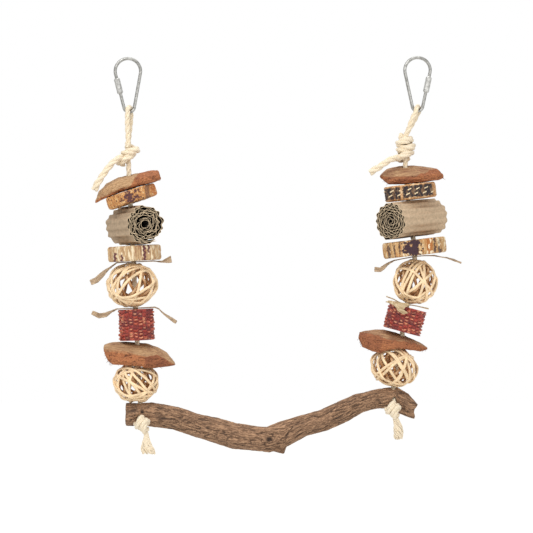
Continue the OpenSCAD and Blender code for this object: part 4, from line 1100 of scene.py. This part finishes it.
class SWING_OT_vine_balls(bpy.types.Operator):
    """Weave the four vine balls"""

    bl_idname = "swing.vine_balls"
    bl_label = "Vine balls"

    def execute(self, context):
        # For each ball: its width, its height, how far its middle lies off the rope, and its seed
        forms = {"left_vine_ball_upper": (52, 45.5, -2.5, 5), "left_vine_ball_lower": (47, 41, -3, 10),
                 "right_vine_ball_upper": (45, 46, 4.5, 17), "right_vine_ball_lower": (49.5, 40, -3, 33)}
        inner, strip = 0.78, 2.4
        for node, (width, height, off, seed) in forms.items():
            vine = curve_object(node + "_piece", [self.vine(width, height) * inner * MM])
            piece = run_tree(vine, "woven_ball", {
                "Loops": sizes().vine_loops, "Width": (width - strip) * MM, "Height": (height - strip) * MM,
                "Vine Width": sizes().vine_w, "Vine Thickness": sizes().vine_t, "Seed": seed,
                "Finish": bpy.data.materials["peeled_vine"]})
            ball = places(piece) / MM
            share = np.linalg.norm(ball / np.array([width, width, height]) * 2, axis=1)
            # Deep in the ball the vine is drawn orange-brown, partly its own colour and partly painted shade
            store(piece, depth=fade(share, 0.7, 0.9))
            move(piece, to_world(node, ball + np.array([off, 0, 0])))
            dress(piece, "peeled_vine", node)
        return {"FINISHED"}

    def vine(self, width, height):
        """The one unbroken vine, over and under itself by turns, as in the solids."""
        laps, waves, reach, lift, thick = 5, 7, math.radians(60), 2.8, 3.0
        points = []
        for t in np.linspace(0, TURN * laps, 420):
            wave = waves * t / laps
            lat = reach * math.cos(wave)
            over = lift * math.cos(laps * wave) * math.sin(wave) / math.sqrt(math.sin(wave) ** 2 + 0.1)
            turn = t + math.radians(5 * math.sin(2 * lat) + 3 * math.sin(2 * t + 0.7))
            r = ((width - thick) / 2 - 0.8 * lift + over) * math.cos(lat)
            z = (height - thick - lift) / 2 / math.sin(reach) + over
            points.append((r * math.cos(turn), r * math.sin(turn), z * math.sin(lat)))
        # The vine stops just short of its own start
        return np.array(points[:-3])


class SWING_OT_cobs(bpy.types.Operator):
    """Make the two slices of red corn cob"""

    bl_idname = "swing.cobs"
    bl_label = "Corn cob slices"

    def execute(self, context):
        # The height of a row of scales and the width of a scale, and each cob's width and length
        row_h, cell_w = 3.3, 5.4
        cobs = {"left_cob_slice": (37.0, 31.0), "right_cob_slice": (40.0, 25.0)}
        for seed, (node, (width, length)) in enumerate(cobs.items()):
            piece = cad_copy(node, 0.38, 8)
            local = to_local(node, places(piece))
            angle, radius = polar(local)
            count = round(math.pi * width / cell_w)
            wobble = rough(columns(np.cos(angle) * 18, np.sin(angle) * 18, local[:, 2]), (5, 5, 5), seed)
            column = angle / TURN * count + 0.3 * wobble
            rank = np.floor(column) % count
            set_off = hashed(columns(rank, 0.0, 0.0).astype(np.int64), 5 + seed)
            bow = 0.5 * (column % 1 - 0.5) ** 2
            row = local[:, 2] / row_h + 0.5 * (rank % 2) + 0.5 * set_off + 0.35 * wobble - bow
            cell = columns(rank, np.floor(row), 0.0).astype(np.int64)
            chance, other = hashed(cell, 31 + seed), hashed(cell, 77 + seed)
            across = np.abs(column % 1 - 0.5) * 2
            up = row % 1
            # Each scale rises to a lip near its top and falls back into the pit over it
            scale = (1 - across ** 2.4) * ease(up, 0.0, 0.75) * fade(up, 0.82, 1)
            side = ease(radius, width / 2 - 3.2, width / 2 - 1.6)
            side = side * fade(np.abs(local[:, 2]), length / 2 - 0.8, length / 2)
            push = (scale * (0.9 + 1.3 * chance) - 0.6 + 0.2 * rough(local, (0.8, 0.8, 0.8), seed)) * side
            outer = columns(np.cos(angle), np.sin(angle), 0.0)
            move(piece, to_world(node, local + outer * (0.9 * push - 0.5 * side)[:, None]))
            # Painted highlight: a pale mark on the lip of some scales; a few cells also hold a pale kernel
            lip = ease(up, 0.45, 0.62) * fade(up, 0.78, 0.9) * fade(across, 0.35, 0.75)
            pale = lip * ease(other, 0.45, 0.65)
            kernel = fade(np.hypot(across * 1.3, (up - 0.3) * 3), 0.5, 0.9) * ease(chance, 0.86, 0.92)
            # Painted shade in the gaps between the scales
            store(piece, cell=0.1 + chance * 0.5,
                  gap=fade(scale, 0.05, 0.35) * side * 0.8 * (0.4 + 0.6 * other),
                  pit=clip((pale * 0.72 + 0.8 * kernel) * side),
                  face=fade(radius, width / 2 - 4, width / 2 - 2) * 0.9)
            dress(piece, "dried_red_cob", node)
        return {"FINISHED"}


class SWING_OT_leaves(bpy.types.Operator):
    """Make the four dried leaf strips"""

    bl_idname = "swing.leaves"
    bl_label = "Leaf strips"

    def execute(self, context):
        for seed, side in enumerate(SIDES):
            for name in ("leaf_upper", "leaf_lower"):
                node, finish = f"{side}_{name}", "dried_leaf"
                piece = cad_copy(node, 0.36, 3)
                if node == "right_leaf_lower":
                    finish = "golden_dried_leaf"
                    join(piece, self.drape(node))
                local = to_local(node, places(piece))
                flat = local * np.array([1, 1, 0])
                curl = rough(flat, (9, 3.5, 1), seed) * 0.5 + rough(flat, (20, 1.0, 1), seed + 3) * 0.2
                local[:, 2] += curl * ease(polar(local)[1], 10, 28)
                move(piece, to_world(node, local))
                store(piece, local=local)
                dress(piece, finish, node)
        return {"FINISHED"}

    def drape(self, node):
        """A torn leaf that lies forward from the strip and hangs over the edge of the cob in points."""
        over, clear, length, thick, shift = 15.0, 22.4, 28, 0.5, 3.5
        # The leaf's two torn edges, as x at each length of leaf
        left = ((0, -7), (8, -11), (14, -15), (17, -19), (19.5, -11), (22, -8), (25, -6), (27, -2.5),
                (28, 0.5))
        right = ((0, 3), (8, 4), (14, 3), (17, 5.5), (20, 1), (23, 0), (26, 5), (28, 0.5))
        rows, shares = np.linspace(0, length, 2 * length + 1), np.linspace(0, 1, 25)
        points = []
        for run in rows:
            low, high = np.interp(run, *zip(*left)), np.interp(run, *zip(*right))
            for share in shares:
                x = low + (high - low) * share
                fold = 0.7 * abs(share - 0.45) - 0.9 * math.sin(math.pi * share)
                y = -min(6.0 + run, clear) if run < over else -clear
                y = max(y, -math.sqrt(max(clear ** 2 - 0.5 * x * x, 0))) + 0.35 * fold * (run > over)
                points.append((x - shift, y, 1.0 + 0.25 * fold - 0.85 * max(0.0, run - over)))
        return walled(mesh_piece("drape", to_world(node, points), quads(len(rows), len(shares))), thick * MM)


class SWING_OT_perch(bpy.types.Operator):
    """Make the branch perch with its furrowed bark"""

    bl_idname = "swing.perch"
    bl_label = "Perch"

    def execute(self, context):
        piece = cad_copy("perch", 0.65, 6)
        points = places(piece) / MM
        across = points[:, 0]
        mid = self.middle_line(points)
        angle = np.arctan2(points[:, 2] - mid[:, 1], points[:, 1] - mid[:, 0]) + across * 0.004
        way = columns(across, np.cos(angle) * 11, np.sin(angle) * 11)
        bend = way + np.array([0, 1, 1]) * rough(way, (16, 8, 8), 12)[:, None] * 1.6
        ridge = np.abs(rough(bend, (22, 2.3, 2.3), 1))
        fine = rough(bend, (6, 0.9, 0.9), 4)
        swell = rough(way, (24, 8, 8), 7) * 0.6
        facing = outward(piece)
        # The right end is cut at a slant from under its nub, and a notch goes into the cut
        nub_z, slant_h, slant, notch_z, notch_h, notch_d = -343.8, 14, 6, -350.0, 4.5, 3.2
        share = clip((nub_z - points[:, 2]) / slant_h)
        notch = notch_d * np.exp(-((points[:, 2] - notch_z) / notch_h) ** 2)
        points[:, 0] += ease(across, 273, 285) * (slant * share - 1.5 - notch)
        left_cut = ease(-facing[:, 0], 0.75, 0.95) * (across < across.min() + 3)
        right_cut = ease(facing[:, 0] - 0.4 * facing[:, 2], 0.85, 1.0) * (across > across.max() - 12)
        cut = np.maximum(left_cut, right_cut)
        # A knot-hole on the front, a little right of the lowest part of the bow, and a small one near the
        # left end: x, z, how much flatter than round, and the radii where it is deep and where it ends
        hole = 0
        for x, z, flatter, deep, end in ((141.5, -378, 1.3, 1.2, 4.5), (15.2, -350.8, 1.0, 0.8, 2.6)):
            away = np.hypot(across - x, (points[:, 2] - z) * flatter)
            hole = np.maximum(hole, fade(away + 0.8 * fine, deep, end))
        hole = hole * (facing[:, 1] < 0)
        groove = fade(np.abs(rough(bend, (13, 1.3, 1.3), 21)), 0.0, 0.22)
        relief = 0.7 - 1.1 * fade(ridge, 0.0, 0.2) - 0.3 * groove + 0.25 * fine + 0.7 * swell
        push = relief * (1 - cut) - 1.8 * hole
        move(piece, (points + facing * push[:, None]) * MM)
        # Painted shade in the furrows, grooves and knot-holes, none on the cuts
        dark = np.maximum(fade(ridge, 0.0, 0.17) * 0.9, 0.5 * groove)
        store(piece, bark_way=bend, furrow=clip(dark * (1 - cut) + hole), cut=cut)
        dress(piece, "furrowed_bark", "perch")
        return {"FINISHED"}

    def middle_line(self, points, wide=4):
        """The branch's middle in y and z at each point's x, found in slots of x."""
        across = points[:, 0]
        steps = np.arange(across.min(), across.max() + wide, wide)
        slot = np.clip(((across - steps[0]) / wide).astype(int), 0, len(steps) - 1)
        known = [k for k in range(len(steps)) if (slot == k).any()]
        middles = np.array([points[slot == k][:, 1:].mean(0) for k in known])
        return np.stack([np.interp(across, steps[known] + wide / 2, middles[:, k]) for k in range(2)], axis=1)


class SWING_OT_materials(bpy.types.Operator):
    """Make the materials and the geometry trees"""

    bl_idname = "swing.materials"
    bl_label = "Materials"

    def execute(self, context):
        zinc_steel("zinc_plated_wire", "7f7e7a", "a6a5a1")
        zinc_steel("zinc_plated_sleeve", "9d9c98", "c6c5c1")
        rope_fibre()
        coconut_husk()
        slice_rind("mottled_slice", [(0.32, "74452a"), (0.45, "b47a45"), (0.6, "cb9659"), (0.8, "dfb680")],
                   (0.7, 0.7, 0.6), "b4622c", "e8cb98", "47202a")
        slice_rind("striped_slice", [(0.3, "8f6d4a"), (0.45, "b6946c"), (0.65, "caab80"), (0.8, "dfc79e")],
                   (0.7, 0.4, 0.12), "8f5a38", "efe0bf", "55202b")
        slice_rind("black_slice", [(0.3, "83552f"), (0.5, "bb8a58"), (0.7, "e6cda4")],
                   (0.4, 0.4, 0.4), "b87a45", "ecd9b2", "1d1217")
        slice_rind("blotched_slice", [(0.3, "8a6238"), (0.45, "ba905c"), (0.65, "d4b282"), (0.8, "e8d1a6")],
                   (0.6, 0.4, 0.1), "a8682f", "f0e2c2", "351b24")
        kraft_board()
        peeled_vine()
        corn_cob()
        dry_leaf("dried_leaf", "644f38", "a0866a", "cbb28e")
        dry_leaf("golden_dried_leaf", "83694a", "b59c76", "d6c3a2")
        bark()
        laid_rope_tree()
        vine_ball_tree()
        return {"FINISHED"}


class SWING_OT_stage(bpy.types.Operator):
    """Make the pale floor, the white surround and the soft lights"""

    bl_idname = "swing.stage"
    bl_label = "Stage"

    def execute(self, context):
        half, floor_z, white = 6, -0.62, (1, 1, 1, 1)
        corners = [(x * half, y * half, floor_z) for x, y in ((-1, -1), (1, -1), (1, 1), (-1, 1))]
        floor = mesh_piece("floor", corners, [(0, 1, 2, 3)])
        material = bpy.data.materials.new("pale_floor")
        material.use_nodes = True
        tree = material.node_tree
        tree.nodes.clear()
        plain = add(tree, "ShaderNodeBsdfDiffuse", {"Color": colour("f2f2f0")})
        glow = add(tree, "ShaderNodeEmission", {"Color": white, "Strength": self.seen(tree, 0.0, 0.47)})
        both = add(tree, "ShaderNodeAddShader", {0: plain, 1: glow})
        add(tree, "ShaderNodeOutputMaterial", {"Surface": both})
        floor.data.materials.append(material)
        world = bpy.data.worlds.new("surround")
        context.scene.world = world
        world.use_nodes = True
        tree = world.node_tree
        tree.nodes.clear()
        light = add(tree, "ShaderNodeBackground", {"Color": white, "Strength": self.seen(tree, 0.62, 1.0)})
        add(tree, "ShaderNodeOutputWorld", {"Surface": light})
        # Each lamp's place and size in metres, and its power in watts
        lamps = {"key": ((-0.5, -1.1, 0.75), 0.9, 13.0), "fill": ((0.95, -1.2, 0.1), 1.1, 6.0),
                 "top": ((0.15, 0.15, 1.1), 0.9, 6.0)}
        aim = Vector((VIEW_X, 0, -0.2))
        for name, (place, size, power) in lamps.items():
            data = bpy.data.lights.new(name, "AREA")
            data.size = size
            data.energy = power
            lamp = link(name, data)
            lamp.location = place
            lamp.rotation_euler = (aim - Vector(place)).to_track_quat("-Z", "Y").to_euler()
        context.scene.view_settings.view_transform = "Standard"
        return {"FINISHED"}

    def seen(self, tree, unseen, seen):
        """A strength, higher for rays that show a surface to the camera, in metal or through glass too."""
        rays = add(tree, "ShaderNodeLightPath").outputs
        most = rays["Is Camera Ray"]
        for name in ("Is Glossy Ray", "Is Transmission Ray"):
            most = add(tree, "ShaderNodeMath", {0: most, 1: rays[name]}, operation="MAXIMUM").outputs[0]
        return add(tree, "ShaderNodeMapRange", {"Value": most, "To Min": unseen, "To Max": seen}).outputs[0]


OPERATORS = (SWING_OT_materials, SWING_OT_camera, SWING_OT_tails, SWING_OT_ropes, SWING_OT_frayed_ends,
             SWING_OT_links, SWING_OT_husks, SWING_OT_slices, SWING_OT_rolls, SWING_OT_vine_balls,
             SWING_OT_cobs, SWING_OT_leaves, SWING_OT_perch, SWING_OT_stage)


class SWING_PT_dressing(bpy.types.Panel):
    """Lists the settings and the steps of the dressing"""

    bl_idname = "SWING_PT_dressing"
    bl_label = "Bird swing"
    bl_space_type = "VIEW_3D"
    bl_region_type = "UI"
    bl_category = "Bird swing"

    def draw(self, context):
        for name in SwingSettings.__annotations__:
            self.layout.prop(context.scene.swing_settings, name)
        for step in OPERATORS:
            self.layout.operator(step.bl_idname)


def register():
    for kind in (SwingSettings, *OPERATORS, SWING_PT_dressing):
        bpy.utils.register_class(kind)
    bpy.types.Scene.swing_settings = bpy.props.PointerProperty(type=SwingSettings)


def unregister():
    del bpy.types.Scene.swing_settings
    for kind in (SWING_PT_dressing, *reversed(OPERATORS), SwingSettings):
        bpy.utils.unregister_class(kind)


def main():
    """Makes every piece in order."""
    register()
    for step in OPERATORS:
        group, name = step.bl_idname.split(".")
        getattr(getattr(bpy.ops, group), name)()


if __name__ == "__main__":
    main()
